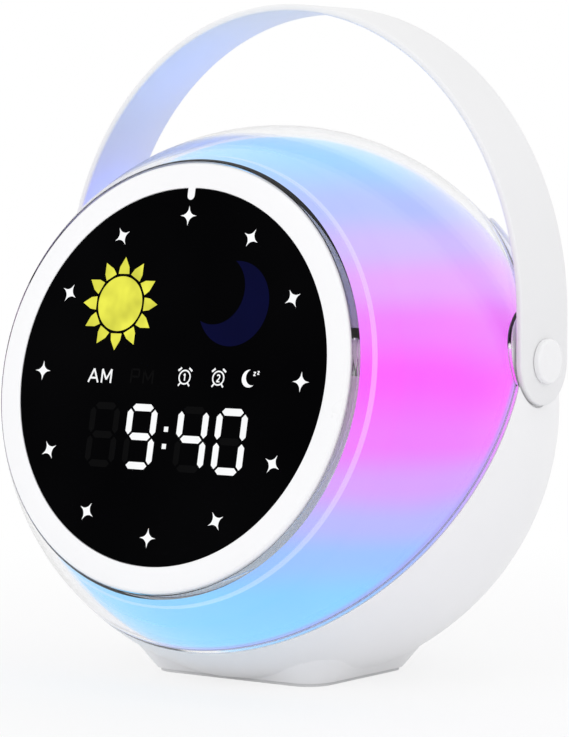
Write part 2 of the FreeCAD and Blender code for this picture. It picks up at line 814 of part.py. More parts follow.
def digit_wires():
    """The four digits' bars and the colon's two dots."""
    wires = []
    half_w, half_h = size("digit_width / 2"), size("digit_height / 2")
    y = size("digit_y")
    for pair in (-1, 1):
        for place in (-1, 1):
            x = size(f"digit_x + {pair} * pair_pitch / 2 + {place} * digit_pitch / 2")
            wires += [segment_wire(x, y + level * half_h, 2 * half_w, False) for level in (-1, 0, 1)]
            wires += [segment_wire(x + sx * half_w, y + sy * half_h / 2, half_h, True)
                      for sx in (-1, 1) for sy in (-1, 1)]
    for sy in (-1, 1):
        dot_y = y + sy * size("colon_pitch / 2")
        wires.append(rectangle_wire(size("digit_x"), dot_y, size("colon_width"), size("colon_width")))
    return wires


def moon_face():
    whole = Part.Face(circle_wire(size("moon_x"), size("moon_y"), size("moon_radius")))
    angle = math.radians(size("moon_turn"))
    away = size("moon_bite_shift")
    bite = Part.Face(circle_wire(size("moon_x") + away * math.cos(angle),
                                 size("moon_y") + away * math.sin(angle), size("moon_bite")))
    return whole.cut(bite)


def sun_rays():
    """Straight three-sided rays around the sun's disc."""
    count = int(size("sun_ray_count"))
    for step in range(count):
        middle = step * FULL_TURN / count
        half = FULL_TURN / count * size("sun_ray_share")
        corners = []
        for degrees, radius in ((middle - half, size("sun_ray_root")), (middle, size("sun_ray_reach")),
                                (middle + half, size("sun_ray_root"))):
            angle = math.radians(degrees)
            corners.append((size("sun_x") + radius * math.sin(angle),
                            size("sun_y") + radius * math.cos(angle)))
        yield closed_wire(corners)


def icon_places():
    for step in range(int(size("icon_count"))):
        yield size(f"digit_x + ({step} - (icon_count - 1) / 2) * icon_pitch"), size("icon_row_y")


def make_dial_film():
    """Thin film behind the window, with the dial's marks cut out."""
    sheet_face = Part.Face(circle_wire(0, 0, size(f"{LEDGE_RADIUS} - film_gap")))
    marks = [Part.Face(wire) for wire in digit_wires() + list(sun_rays())]
    marks.append(Part.Face(circle_wire(size("sun_x"), size("sun_y"), size("sun_radius"))))
    marks.append(moon_face())
    for x, y, degrees in polar("star_count", "star_circle_radius"):
        marks.append(Part.Face(star_wire(x, y, size("star_reach"), size("star_waist"),
                                         int(size("star_points")), degrees)))
    film = sheet_face.cut(marks).extrude(Vector(0, 0, size("film_thickness")))
    item = solid_of("dial_film", film)
    item.Placement = FACE.multiply(shift(0, 0, FILM_BACK))
    node("dial_film", item)


def make_light_block():
    """White block behind the film with a light well under every mark."""
    rise = f"({FILM_BACK}) - film_gap - ({DIAL_BOARD_TOP})"
    disc = turned("light_block_disc", FACE, [
        (0, DIAL_BOARD_TOP),
        (f"{NECK_BORE} - board_gap", DIAL_BOARD_TOP),
        (f"{NECK_BORE} - board_gap", f"{LEDGE_BACK} - block_shoulder_gap"),
        (f"{LEDGE_RADIUS} - board_gap", f"{LEDGE_BACK} - block_shoulder_gap"),
        (f"{LEDGE_RADIUS} - board_gap", f"{FILM_BACK} - film_gap"),
        (0, f"{FILM_BACK} - film_gap"),
    ])
    cells = [Part.Face(wire) for wire in digit_wires()]
    cells.append(Part.Face(circle_wire(size("sun_x"), size("sun_y"), size("sun_ray_reach + sun_gap"))))
    cells.append(Part.Face(circle_wire(size("moon_x"), size("moon_y"), size("moon_radius + sun_gap"))))
    for x, y, _ in polar("star_count", "star_circle_radius"):
        cells.append(Part.Face(circle_wire(x, y, size("star_well_radius"))))
    for x, y in icon_places():
        cells.append(Part.Face(rectangle_wire(x, y, size("icon_width"), size("icon_height"))))
    wells = solid_of("light_wells", Part.makeCompound([face.extrude(Vector(0, 0, 2 * size(rise)))
                                                       for face in cells]))
    wells.Placement = FACE.multiply(shift(0, 0, f"{DIAL_BOARD_TOP} - ({rise}) / 2"))
    pilots = [pilot(f"block_pilot_{number}", FACE, (x, y, DIAL_BOARD_TOP),
                    "dial_screw_length - neck_flange - board_thickness")
              for number, (x, y, _) in enumerate(dial_screw_places(), start=1)]
    node("light_block", cut("light_block", disc, wells, *pilots))


def dial_screw_places():
    return list(polar("dial_screw_count", f"{NECK_BORE} - dial_screw_inset", RIGHT_ANGLE / 2))


def make_display_board():
    disc = cylinder("display_board_disc", FACE, f"{NECK_BORE} - board_gap", "board_thickness",
                    (0, 0, FLANGE_TOP))
    holes = [pilot(f"display_hole_{number}", FACE, (x, y, f"{FLANGE_TOP} - board_thickness"),
                   "3 * board_thickness", loose=True)
             for number, (x, y, _) in enumerate(dial_screw_places(), start=1)]
    node("display_board", cut("display_board", disc, *holes))
    lamps = []
    places = [(x, y) for x, y, _ in polar("star_count", "star_circle_radius")]
    places += [(size("sun_x"), size("sun_y")), (size("moon_x"), size("moon_y"))] + list(icon_places())
    for number, (x, y) in enumerate(places, start=1):
        lamps.append(block(f"display_lamp_{number}", FACE, "segment_width + segment_gap",
                           "segment_width", "segment_width / 2", (x, y, DIAL_BOARD_TOP)))
    node("display_lamps", group("display_lamps", lamps))
    screws = [screw(f"dial_screw_{number}", FACE, (x, y, f"{FLANGE_TOP} - neck_flange"),
                    "dial_screw_length - screw_hole_gap")
              for number, (x, y, _) in enumerate(dial_screw_places(), start=1)]
    node("dial_screws", group("dial_screws", screws))


def make_chassis():
    """Plate on the seam with a rim for the light dome and a neck for the dial."""
    plate = turned("chassis_plate", SEAM, [
        (0, PLATE_BACK),
        (PLATE_RIM, PLATE_BACK),
        (PLATE_RIM, RIM_TOP),
        (f"{PLATE_RIM} - plate_rim_wall", RIM_TOP),
        (f"{PLATE_RIM} - plate_rim_wall", "plate_depth"),
        (0, "plate_depth"),
    ])
    tube = turned("chassis_tube", FACE, [
        (NECK_BORE, f"-{NECK_RADIUS}"),
        (NECK_RADIUS, f"-{NECK_RADIUS}"),
        (NECK_RADIUS, LEDGE_BACK),
        (NECK_BORE, LEDGE_BACK),
        (NECK_BORE, FLANGE_TOP),
        (f"{NECK_BORE} - neck_flange_width", FLANGE_TOP),
        (f"{NECK_BORE} - neck_flange_width", f"{FLANGE_TOP} - neck_flange"),
        (NECK_BORE, f"{FLANGE_TOP} - neck_flange"),
    ])
    neck = common("chassis_neck", tube, above_seam("neck_limit", PLATE_BACK))
    standoffs = [cylinder(f"standoff_{number}", SEAM, "standoff_radius", "control_drop", (x, y, CONTROL_TOP))
                 for number, (x, y) in enumerate(control_screw_places(), start=1)]
    whole = fuse("chassis_whole", plate, neck, *standoffs)
    holes = [cylinder("wire_hole", SEAM, "wire_hole_radius", "3 * plate_thickness",
                      (0, 0, f"{PLATE_BACK} - plate_thickness"))]
    for number, (x, y) in enumerate(plate_screw_places(), start=1):
        holes.append(pilot(f"plate_hole_{number}", SEAM, (x, y, f"{PLATE_BACK} - plate_thickness"),
                           "3 * plate_thickness", loose=True))
    for number, (x, y) in enumerate(holder_screw_places(), start=1):
        holes.append(pilot(f"holder_hole_{number}", SEAM, (x, y, f"{PLATE_BACK} - plate_thickness"),
                           "3 * plate_thickness", loose=True))
        holes.append(cylinder(f"holder_head_room_{number}", SEAM, "screw_head_radius + screw_thread_gap",
                              "screw_head_height + screw_thread_gap", (x, y, "plate_depth")))
    for number, (x, y) in enumerate(control_screw_places(), start=1):
        holes.append(pilot(f"standoff_pilot_{number}", SEAM, (x, y, CONTROL_TOP),
                           "control_screw_length - board_thickness"))
    for number, (x, y) in enumerate(peg_places(), start=1):
        holes.append(cylinder(f"peg_hole_{number}", SEAM, "saddle_peg_radius + screw_hole_gap",
                              "3 * plate_thickness", (x, y, f"{PLATE_BACK} - plate_thickness")))
    for number, (x, y, _) in enumerate(dial_screw_places(), start=1):
        holes.append(pilot(f"flange_hole_{number}", FACE, (x, y, f"{FLANGE_TOP} - 2 * neck_flange"),
                           "3 * neck_flange", loose=True))
    for side in SIDES:
        holes.append(pivot_cylinder(f"chassis_ear_notch_{side}", side, "ear_radius + ear_gap",
                                    f"{EAR_FACE} - ear_thickness - ear_gap", "ball_radius"))
        holes.append(pivot_cylinder(f"chassis_hub_notch_{side}", side, "hub_radius + ear_gap",
                                    f"{HUB_DEPTH} - 3 * washer_thickness - screw_head_height", "ball_radius"))
    node("chassis", cut("chassis", whole, *holes))
    screws = [screw(f"plate_screw_{number}", SEAM, (x, y, "plate_depth"),
                    "plate_screw_length + plate_thickness - screw_hole_gap", UPSIDE_DOWN)
              for number, (x, y) in enumerate(plate_screw_places(), start=1)]
    node("chassis_screws", group("chassis_screws", screws))


def make_light_ring():
    """Ring board with coloured lamps under the milky dome."""
    disc = cylinder("light_board_disc", SEAM, LIGHT_BOARD_RADIUS, "board_thickness", (0, 0, "plate_depth"))
    neck = cylinder("light_board_neck", FACE, f"{NECK_RADIUS} + light_board_gap", f"3 * {NECK_RADIUS}",
                    (0, 0, f"-{NECK_RADIUS}"))
    windows = [cylinder(f"light_board_window_{number}", SEAM, "screw_head_radius + head_clearance",
                        "3 * board_thickness", (x, y, "plate_depth - board_thickness"))
               for number, (x, y) in enumerate(holder_screw_places(), start=1)]
    node("light_ring_board", cut("light_ring_board", disc, neck, *windows))
    lamps = []
    for number, (x, y, degrees) in enumerate(polar("light_count", LIGHT_CIRCLE), start=1):
        lamps.append(block(f"colour_lamp_{number}", SEAM, "light_length", "light_breadth",
                           "light_thickness", (x, y, LIGHT_BOARD_TOP), about(Z_AXIS, -degrees)))
    node("colour_lamps", group("colour_lamps", lamps))


def make_control_board():
    slab = block("control_slab", SEAM, "control_width", "control_length", "board_thickness",
                 (0, "control_y", CONTROL_BACK))
    holes = [pilot(f"control_hole_{number}", SEAM, (x, y, f"{CONTROL_BACK} - board_thickness"),
                   "3 * board_thickness", loose=True)
             for number, (x, y) in enumerate(control_screw_places(), start=1)]
    node("control_board", cut("control_board", slab, *holes))
    processor = block("processor", SEAM, "processor_side", "processor_side", "processor_height",
                      ("-processor_side", "control_y", f"{CONTROL_BACK} - processor_height"))
    sound_chip = block("sound_chip", SEAM, "sound_chip_length", "sound_chip_width", "sound_chip_height",
                       ("processor_side", "control_y", f"{CONTROL_BACK} - sound_chip_height"))
    capacitor = cylinder("capacitor", SEAM, "capacitor_radius", "capacitor_height",
                         ("2 * processor_side", "control_y", f"{CONTROL_BACK} - capacitor_height"))
    node("control_chips", group("control_chips", [processor, sound_chip, capacitor]))
    screws = [screw(f"control_screw_{number}", SEAM, (x, y, CONTROL_BACK),
                    "control_screw_length - screw_hole_gap")
              for number, (x, y) in enumerate(control_screw_places(), start=1)]
    node("control_screws", group("control_screws", screws))


def make_battery():
    """Round cell snapped into a holder under the plate."""
    bore = "cell_radius + cell_gap"
    level = f"({PLATE_BACK}) - holder_wall - ({bore})"
    length = "cell_length + 2 * cell_gap + 2 * holder_wall"
    trough = block("holder_trough", SEAM, length, f"2 * ({bore} + holder_wall)",
                   f"holder_wall + {bore} + holder_clip",
                   (0, "holder_y", f"{level} - holder_clip"))
    lugs = block("holder_lugs", SEAM, f"{length} + 2 * holder_lug", "holder_lug_width",
                 "holder_lug_height", (0, "holder_y", f"({PLATE_BACK}) - holder_lug_height"))
    channel = cylinder("holder_channel", SEAM, bore, "cell_length + 2 * cell_gap",
                       ("-(cell_length / 2 + cell_gap)", "holder_y", level), about(Y_AXIS, RIGHT_ANGLE))
    mouth = block("holder_mouth", SEAM, "cell_length / 2", f"2 * ({bore}) * holder_mouth_share", bore,
                  (0, "holder_y", f"{level} - ({bore})"))
    pilots = [pilot(f"holder_pilot_{number}", SEAM, (x, y, PLATE_BACK),
                    "holder_screw_length - plate_thickness", UPSIDE_DOWN)
              for number, (x, y) in enumerate(holder_screw_places(), start=1)]
    node("battery_holder", cut("battery_holder", fuse("holder_whole", trough, lugs), channel, mouth, *pilots))
    body = cylinder("cell_body", SEAM, "cell_radius", "cell_length - cell_cap_height",
                    ("-cell_length / 2", "holder_y", level), about(Y_AXIS, RIGHT_ANGLE))
    button = cylinder("cell_button", SEAM, "cell_cap_radius", "cell_length",
                      ("-cell_length / 2", "holder_y", level), about(Y_AXIS, RIGHT_ANGLE))
    node("battery_cell", fuse("battery_cell", body, button))
    screws = [screw(f"holder_screw_{number}", SEAM, (x, y, "plate_depth"),
                    "holder_screw_length - screw_hole_gap", UPSIDE_DOWN)
              for number, (x, y) in enumerate(holder_screw_places(), start=1)]
    node("holder_screws", group("holder_screws", screws))


def make_speaker():
    """Speaker facing out through the grille, held by a clamp ring."""
    rim = f"speaker_rim_thickness - {SPEAKER_DEPTH}"
    back = f"{rim} + speaker_basket_height"
    wall = "speaker_bowl_wall"
    basket = turned("speaker_basket", SEAM, [
        (f"speaker_basket_radius - {wall}", f"-{SPEAKER_DEPTH}"),
        ("speaker_rim_radius", f"-{SPEAKER_DEPTH}"),
        ("speaker_rim_radius", rim),
        ("speaker_basket_radius", rim),
        ("speaker_back_radius", back),
        (0, back),
        (0, f"{back} - {wall}"),
        (f"speaker_back_radius - {wall}", f"{back} - {wall}"),
        (f"speaker_basket_radius - {wall}", rim),
    ])
    node("speaker_basket", basket)
    magnet = cylinder("speaker_magnet", SEAM, "magnet_radius", "magnet_height", (0, 0, back))
    node("speaker_magnet", magnet)
    cone_radius = f"speaker_basket_radius - {wall} - cone_gap"
    cone = turned("speaker_cone", SEAM, [
        (0, f"cone_depth - {SPEAKER_DEPTH} - cone_wall"),
        ("cone_throat_radius", f"cone_depth - {SPEAKER_DEPTH} - cone_wall"),
        (f"{cone_radius} - cone_wall", f"-{SPEAKER_DEPTH}"),
        (f"{cone_radius} - cone_wall / 2", f"-{SPEAKER_DEPTH}"),
        ("cone_throat_radius", f"cone_depth - {SPEAKER_DEPTH}"),
        (0, f"cone_depth - {SPEAKER_DEPTH}"),
    ])
    node("speaker_cone", cone)
    ring = cylinder("clamp_disc", SEAM, "clamp_outer_radius", "clamp_thickness", (0, 0, rim))
    lugs = [cylinder(f"clamp_lug_{number}", SEAM, "clamp_lug_radius", "clamp_thickness", (x, y, rim))
            for number, (x, y, _) in enumerate(speaker_posts(), start=1)]
    bore = cylinder("clamp_bore", SEAM, "speaker_basket_radius + clamp_gap", "3 * clamp_thickness",
                    (0, 0, f"{rim} - clamp_thickness"))
    holes = [pilot(f"clamp_hole_{number}", SEAM, (x, y, f"{rim} - clamp_thickness"),
                   "3 * clamp_thickness", loose=True)
             for number, (x, y, _) in enumerate(speaker_posts(), start=1)]
    node("speaker_clamp", cut("speaker_clamp", fuse("clamp_whole", ring, *lugs), bore, *holes))
    screws = [screw(f"speaker_screw_{number}", SEAM, (x, y, f"{rim} + clamp_thickness"),
                    "speaker_screw_length + clamp_thickness - screw_hole_gap", UPSIDE_DOWN)
              for number, (x, y, _) in enumerate(speaker_posts(), start=1)]
    node("speaker_screws", group("speaker_screws", screws))


def make_charge_port():
    """Charging socket on its own little board, on the bowl's shelf."""
    frame = port_frame()
    back = "ball_radius - port_mouth_inset - port_length"
    can = block("port_can", frame, "port_width", "port_height", "port_length", (0, 0, back))
    can_round = rounded("port_can_round", can, "port_height / port_round_share",
                        lambda edge: is_along(edge, Vector(*Y_AXIS)))
    bore = block("port_bore", frame, "port_width - 2 * port_skin", "port_height - 2 * port_skin",
                 "port_length", (0, 0, f"{back} + 2 * port_skin"))
    bore_round = rounded("port_bore_round", bore, "(port_height - 2 * port_skin) / port_round_share",
                         lambda edge: is_along(edge, Vector(*Y_AXIS)))
    tongue = block("port_tongue", frame, "tongue_width", "tongue_height", "tongue_length", (0, 0, back))
    node("charge_socket", fuse("charge_socket", cut("port_hollow", can_round, bore_round), tongue))
    top = f"{CENTRE_HEIGHT} + port_rise - port_height / 2"
    slab = block("charge_slab", TABLE, "port_board_width", "port_board_length", "board_thickness",
                 (0, "ball_radius - port_mouth_inset - port_board_inset - port_board_length / 2",
                  f"{top} - board_thickness"))
    holes = [pilot(f"charge_hole_{side}", TABLE, port_screw_place(side, top), "2 * board_thickness",
                   UPSIDE_DOWN, loose=True) for side in SIDES]
    inside = ball("charge_limit", BALL, "ball_radius - bowl_wall - port_clearance")
    node("charge_board", cut("charge_board", common("charge_trimmed", slab, inside), *holes))
    screws = [screw(f"charge_screw_{side}", TABLE, port_screw_place(side, top),
                    "port_screw_length - screw_hole_gap", UPSIDE_DOWN) for side in SIDES]
    node("charge_screws", group("charge_screws", screws))


def peg_places():
    for side in (-1, 1):
        angle = math.radians(side * size("saddle_peg_angle"))
        reach = size(f"{SWITCH_FOOT} - flex_thickness - saddle_thickness / 2 - peg_inset")
        yield reach * math.sin(angle), reach * math.cos(angle)


def sector(name, near, far, half_width, reach, top):
    """Part of a cone about the seam's axis, square to the buttons' axes."""
    dip = math.radians(size("button_dip"))
    corners = []
    for radius, side in ((near, -1), (far, -1), (far, 1), (near, 1)):
        along = side * half_width
        corners.append(Vector(radius * math.cos(dip) + along * math.sin(dip), 0,
                              along * math.cos(dip) - radius * math.sin(dip)))
    profile = Part.Face(Part.makePolygon(corners + corners[:1]))
    swept = profile.revolve(Vector(), Vector(*Z_AXIS), 2 * reach)
    swept.rotate(Vector(), Vector(*Z_AXIS), RIGHT_ANGLE - reach)
    lid = Part.makeCylinder(2 * far, 2 * far, Vector(0, 0, top - 2 * far))
    item = solid_of(name, swept.common(lid))
    item.Placement = SEAM
    return item


def make_buttons():
    """Row of buttons over the bowl's top, their switches, flexible strip and saddle."""
    foot = size(SWITCH_FOOT)
    flex = foot - size("flex_thickness")
    strap = sector("saddle_strap", flex - size("saddle_thickness"), flex, size("saddle_half_width"),
                   size("saddle_reach"), size(PLATE_BACK))
    pegs = [cylinder(f"saddle_peg_{number}", SEAM, "saddle_peg_radius - screw_hole_gap",
                     "plate_thickness + peg_root",
                     (x, y, f"{PLATE_BACK} - peg_root"))
            for number, (x, y) in enumerate(peg_places(), start=1)]
    node("button_saddle", fuse("button_saddle", strap, *pegs))
    node("button_flex", sector("button_flex", flex, foot, size("flex_half_width"),
                               size("flex_reach"), size(f"{PLATE_BACK} - button_play")))
    bodies = []
    for number in BUTTON_NUMBERS:
        frame = button_frame(number)
        case = block(f"switch_case_{number}", frame, "switch_side", "switch_side", "switch_height",
                     (0, 0, SWITCH_FOOT))
        plunger = cylinder(f"switch_plunger_{number}", frame, "plunger_radius",
                           "switch_height + plunger_height",
                           (0, 0, SWITCH_FOOT))
        bodies.append(fuse(f"switch_{number}", case, plunger))
        flange_top = "ball_radius - bowl_wall - button_flange_gap"
        flange = cylinder(f"button_flange_{number}", frame, "button_flange_radius",
                          "button_flange_thickness", (0, 0, f"{flange_top} - button_flange_thickness"))
        stem_foot = f"{SWITCH_FOOT} + switch_height + plunger_height + button_travel + button_play"
        stem = cylinder(f"button_stem_{number}", frame, "button_stem_radius",
                        f"{flange_top} - ({stem_foot})", (0, 0, stem_foot))
        dome = common(f"button_dome_{number}",
                      cylinder(f"button_post_{number}", frame, "button_radius", "ball_radius / 4",
                               (0, 0, f"{flange_top} - button_flange_thickness / 2")),
                      ball(f"button_cap_ball_{number}",
                           frame.multiply(Placement(Vector(), about(Y_AXIS, RIGHT_ANGLE))),
                           "ball_radius + button_proud"))
        whole = fuse(f"button_whole_{number}", flange, stem, dome)
        edge_round = rounded(f"button_round_{number}", whole, "button_edge",
                             lambda edge, frame=frame: is_button_top(edge, frame))
        node(f"button_{number}", edge_round)
    node("tact_switches", group("tact_switches", bodies))


def is_button_top(edge, frame):
    """True for the ring where a button's side meets its domed top."""
    middle = frame.inverse().multVec(edge.CenterOfMass)
    return edge.Length > math.pi * size("button_radius") and middle.z > size("ball_radius + button_proud / 4")


def arch_wire(half_width, height):
    """Legs from below the pivot up to half an ellipse."""
    foot = size("pivot_rise - handle_width")
    spring = size("arch_rise")
    upright = height > half_width
    ellipse = Part.Ellipse(Vector(0, 0, spring + height) if upright else Vector(half_width, 0, spring),
                           Vector(half_width, 0, spring) if upright else Vector(0, 0, spring + height),
                           Vector(0, 0, spring))
    left, top, right = (Vector(-half_width, 0, spring), Vector(0, 0, spring + height),
                        Vector(half_width, 0, spring))
    start, end = ellipse.parameter(left), ellipse.parameter(right)
    curve = Part.ArcOfEllipse(ellipse, start, end)
    middle = curve.value((curve.FirstParameter + curve.LastParameter) / 2)
    if middle.distanceToPoint(top) > 1:
        curve = Part.ArcOfEllipse(ellipse, end, start)
    edges = [curve.toShape(),
             Part.makeLine(right, Vector(half_width, 0, foot)),
             Part.makeLine(Vector(half_width, 0, foot), Vector(-half_width, 0, foot)),
             Part.makeLine(Vector(-half_width, 0, foot), left)]
    return Part.Wire(Part.__sortEdges__(edges))


def make_handle():
    """Flat band arched over the ball, its ends round about the pivots."""
    outer = Part.Face(arch_wire(size(HANDLE_OUTSIDE), size("arch_height")))
    inner = Part.Face(arch_wire(size(HANDLE_INSIDE), size("arch_height - handle_thickness")))
    run = Vector(0, size("handle_width"), 0)
    band = solid_of("handle_band", outer.extrude(run).cut(inner.extrude(run)))
    band.Placement = BALL.multiply(shift(0, "pivot_back - handle_width / 2", 0))
    span = f"2 * {HANDLE_OUTSIDE}"
    upper = block("handle_upper", TABLE, f"{span} + handle_width", "handle_width", HUGE,
                  (0, "pivot_back", PIVOT_Z))
    ends = cylinder("handle_ends", TABLE, "handle_width / 2", f"{span} + handle_width",
                    (f"-{HANDLE_OUTSIDE} - handle_width / 2", "pivot_back", PIVOT_Z),
                    about(Y_AXIS, RIGHT_ANGLE))
    shaped = common("handle_shaped", band, fuse("handle_outline", upper, ends))
    holes = cylinder("handle_holes", TABLE, "pivot_pin_radius + pivot_play", f"{span} + handle_width",
                     (f"-{HANDLE_OUTSIDE} - handle_width / 2", "pivot_back", PIVOT_Z),
                     about(Y_AXIS, RIGHT_ANGLE))
    node("handle", cut("handle", shaped, holes))


def make_pivots():
    """Round caps outside the handle, screwed from inside the bowl."""
    washers, screws = [], []
    for side in SIDES:
        start = f"{HANDLE_OUTSIDE} + cap_gap"
        head = pivot_cylinder(f"cap_head_{side}", side, "cap_radius", start, f"{start} + cap_height")
        pin = pivot_cylinder(f"cap_pin_{side}", side, "pivot_pin_radius", HUB_DEPTH,
                             f"{start} + cap_height / 2")
        whole = fuse(f"cap_whole_{side}", head, pin)
        limit = size(f"{start} + cap_height * 0.9")
        soft = rounded(f"cap_round_{side}", whole, "cap_edge",
                       lambda edge, limit=limit: abs(edge.CenterOfMass.x) > limit)
        hole = pivot_cylinder(f"cap_pilot_{side}", side, "screw_radius + screw_thread_gap",
                              f"{HUB_DEPTH} - washer_thickness", f"{HUB_DEPTH} + pivot_screw_length")
        node(f"pivot_cap_{side}", cut(f"pivot_cap_{side}", soft, hole))
        disc = pivot_cylinder(f"washer_disc_{side}", side, "washer_radius",
                              f"{HUB_DEPTH} - washer_thickness", HUB_DEPTH)
        bore = pivot_cylinder(f"washer_bore_{side}", side, "screw_radius + screw_hole_gap",
                              f"{HUB_DEPTH} - 2 * washer_thickness", f"{HUB_DEPTH} + washer_thickness")
        washers.append(cut(f"washer_{side}", disc, bore))
        at = (f"{SIDES[side]} * ({HUB_DEPTH} - washer_thickness)", "pivot_back", PIVOT_Z)
        screws.append(screw(f"pivot_screw_{side}", TABLE, at, "pivot_screw_length", sideways(side)))
    node("pivot_washers", group("pivot_washers", washers))
    node("pivot_screws", group("pivot_screws", screws))


def check_document():
    """Stop if any feature failed or any node's shape isn't sound."""
    for item in doc.Objects:
        if "Invalid" in item.State or "Error" in item.State:
            raise RuntimeError(f"{item.Name} failed: {item.getStatusString()}")
    for name, item in NODES.items():
        if item.Shape.isNull() or not item.Shape.isValid() or not item.Shape.Solids:
            raise RuntimeError(f"{name} has no sound shape")


def write_nodes():
    os.makedirs("parts", exist_ok=True)
    for name, item in NODES.items():
        item.Shape.exportStep(f"parts/{name}.step")
        print(f"{name}: {len(item.Shape.Solids)} solids, {item.Shape.Volume:.1f} mm3")


for make in (make_foot_mat, make_rear_shell, make_clear_shell, make_diffuser, make_bezel_ring,
             make_display_window, make_dial_film, make_light_block, make_display_board, make_chassis,
             make_light_ring, make_control_board, make_battery, make_speaker, make_charge_port,
             make_buttons, make_handle, make_pivots):
    make()
doc.recompute()
check_document()
write_nodes()
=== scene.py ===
import math

import bmesh
import bpy
from mathutils import Matrix, Vector


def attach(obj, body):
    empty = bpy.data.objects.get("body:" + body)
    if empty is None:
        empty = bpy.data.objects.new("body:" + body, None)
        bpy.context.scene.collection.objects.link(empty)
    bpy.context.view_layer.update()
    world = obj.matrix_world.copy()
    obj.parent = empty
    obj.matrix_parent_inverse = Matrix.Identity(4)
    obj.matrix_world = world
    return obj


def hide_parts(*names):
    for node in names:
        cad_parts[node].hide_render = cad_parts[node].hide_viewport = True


MM = 0.001
FULL_TURN = 2 * math.pi
BODY = "clock"

# the ball, its seam and its dial, in millimetres and degrees
BALL_CENTRE = Vector((0, 0, 60.0))
BALL_RADIUS = 62.5
DOME_WALL = 2.0
SEAM_TILT = 31.5
SEAM_LEVEL = 2.1
FACE_TILT = 12.0
FACE_DROP = 0.4
FACE_LEVEL = 41.65
DIFFUSER_RADIUS = 59.8
DIFFUSER_WALL = 1.8
DIFFUSER_RIM = 4.2
DIFFUSER_MOUTH = 47.4
SHOULDER_RADIUS = 52.0
SHOULDER_STEP = 0.9
COLLAR_IN = 46.87
COLLAR_OUT = 48.1
COLLAR_TOP = 60.3
RIB_RADIUS = 48.6
RIB_WIDTH = 0.65
RIB_LEVEL = 35.4
RIB_DEPTH = 1.2
SKIRT_IN = 60.15
SKIRT_OUT = 60.38
SKIRT_FOOT = 2.2
DOME_SEGMENTS = 480
DOME_ROWS = 40
DOME_MOUTH = 47.0
DOME_INSET = 0.01
RIM_TURN = 0.4
RIM_BACK = 0.05
SKIRT_HEAD = 0.1
BEZEL_RADIUS = 46.8
BEZEL_WALL = 2.3
BEZEL_DEPTH = 10.6
WINDOW_RADIUS = 41.0
WINDOW_GAP = 0.1
WINDOW_THICKNESS = 2.0
LEDGE_RADIUS = 38.8
LEDGE_THICKNESS = 1.65
KEY_HALF = 0.95
KEY_TIP = 38.5
KEY_ROOT = 0.4
KEY_FOOT = 0.1
KEY_PROUD = 0.02
KEY_STEPS = 12
PIVOT = Vector((0, 10.3, 71.2))
EAR_CLEAR = 10.28
HANDLE_RADIUS = 63.1
HANDLE_THICKNESS = 1.6
HANDLE_WIDTH = 19.2
ARCH_RISE = 81.35
ARCH_HEIGHT = 68.1
HANDLE_ROUND = 0.55
TIP_SHARE = 0.9995
TIP_HALF_WIDTH = 0.3
TIP_STEPS = 12
LEG_STEPS = 6
ARCH_STEPS = 160
CAP_RADIUS = 4.85
CAP_START = 63.2
CAP_HEIGHT = 1.5
CAP_STEM_LENGTH = 9.0
CAP_STEM_RADIUS = 3.0
AXIS_RADIUS = 0.001

# search for a shell's rim: its step in radians and how often that is halved
RIM_STEP = 0.01
RIM_HALVINGS = 24

# the camera, from a perspective fit of the photograph
CAMERA_PLACE = Vector((0.4197, -0.5763, 0.1093))
CAMERA_RIGHT = Vector((0.80914, 0.58762, 0.0))
CAMERA_BACK = Vector((0.58663, -0.80778, 0.0579))
CAMERA_LENS = 155.32
CAMERA_SENSOR = 36.0

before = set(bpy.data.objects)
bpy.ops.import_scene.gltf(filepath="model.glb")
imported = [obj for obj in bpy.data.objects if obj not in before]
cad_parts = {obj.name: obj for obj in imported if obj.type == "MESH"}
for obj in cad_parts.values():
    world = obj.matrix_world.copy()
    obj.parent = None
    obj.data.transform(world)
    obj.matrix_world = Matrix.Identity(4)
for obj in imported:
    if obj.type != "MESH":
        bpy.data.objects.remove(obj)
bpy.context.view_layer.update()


def tilted(degrees, drop=0.0):
    """Frame at the ball's centre whose +Z leans from -Y up by the given angle."""
    turn = Matrix.Rotation(math.radians(90 - degrees), 4, "X")
    return Matrix.Translation(BALL_CENTRE) @ turn @ Matrix.Translation((0, -drop, 0))


FACE_BALL = tilted(FACE_TILT)
FACE = tilted(FACE_TILT, FACE_DROP)
SEAM = tilted(SEAM_TILT)
SEAM_NORMAL = SEAM.to_3x3() @ Vector((0, 0, 1))


# colours

def linear(red, green, blue):
    """Linear colour from 8-bit display values."""
    return tuple(((v / 255 + 0.055) / 1.055) ** 2.4 if v > 10 else v / 255 / 12.92
                 for v in (red, green, blue)) + (1.0,)


WHITE = linear(247, 247, 248)


# node helpers

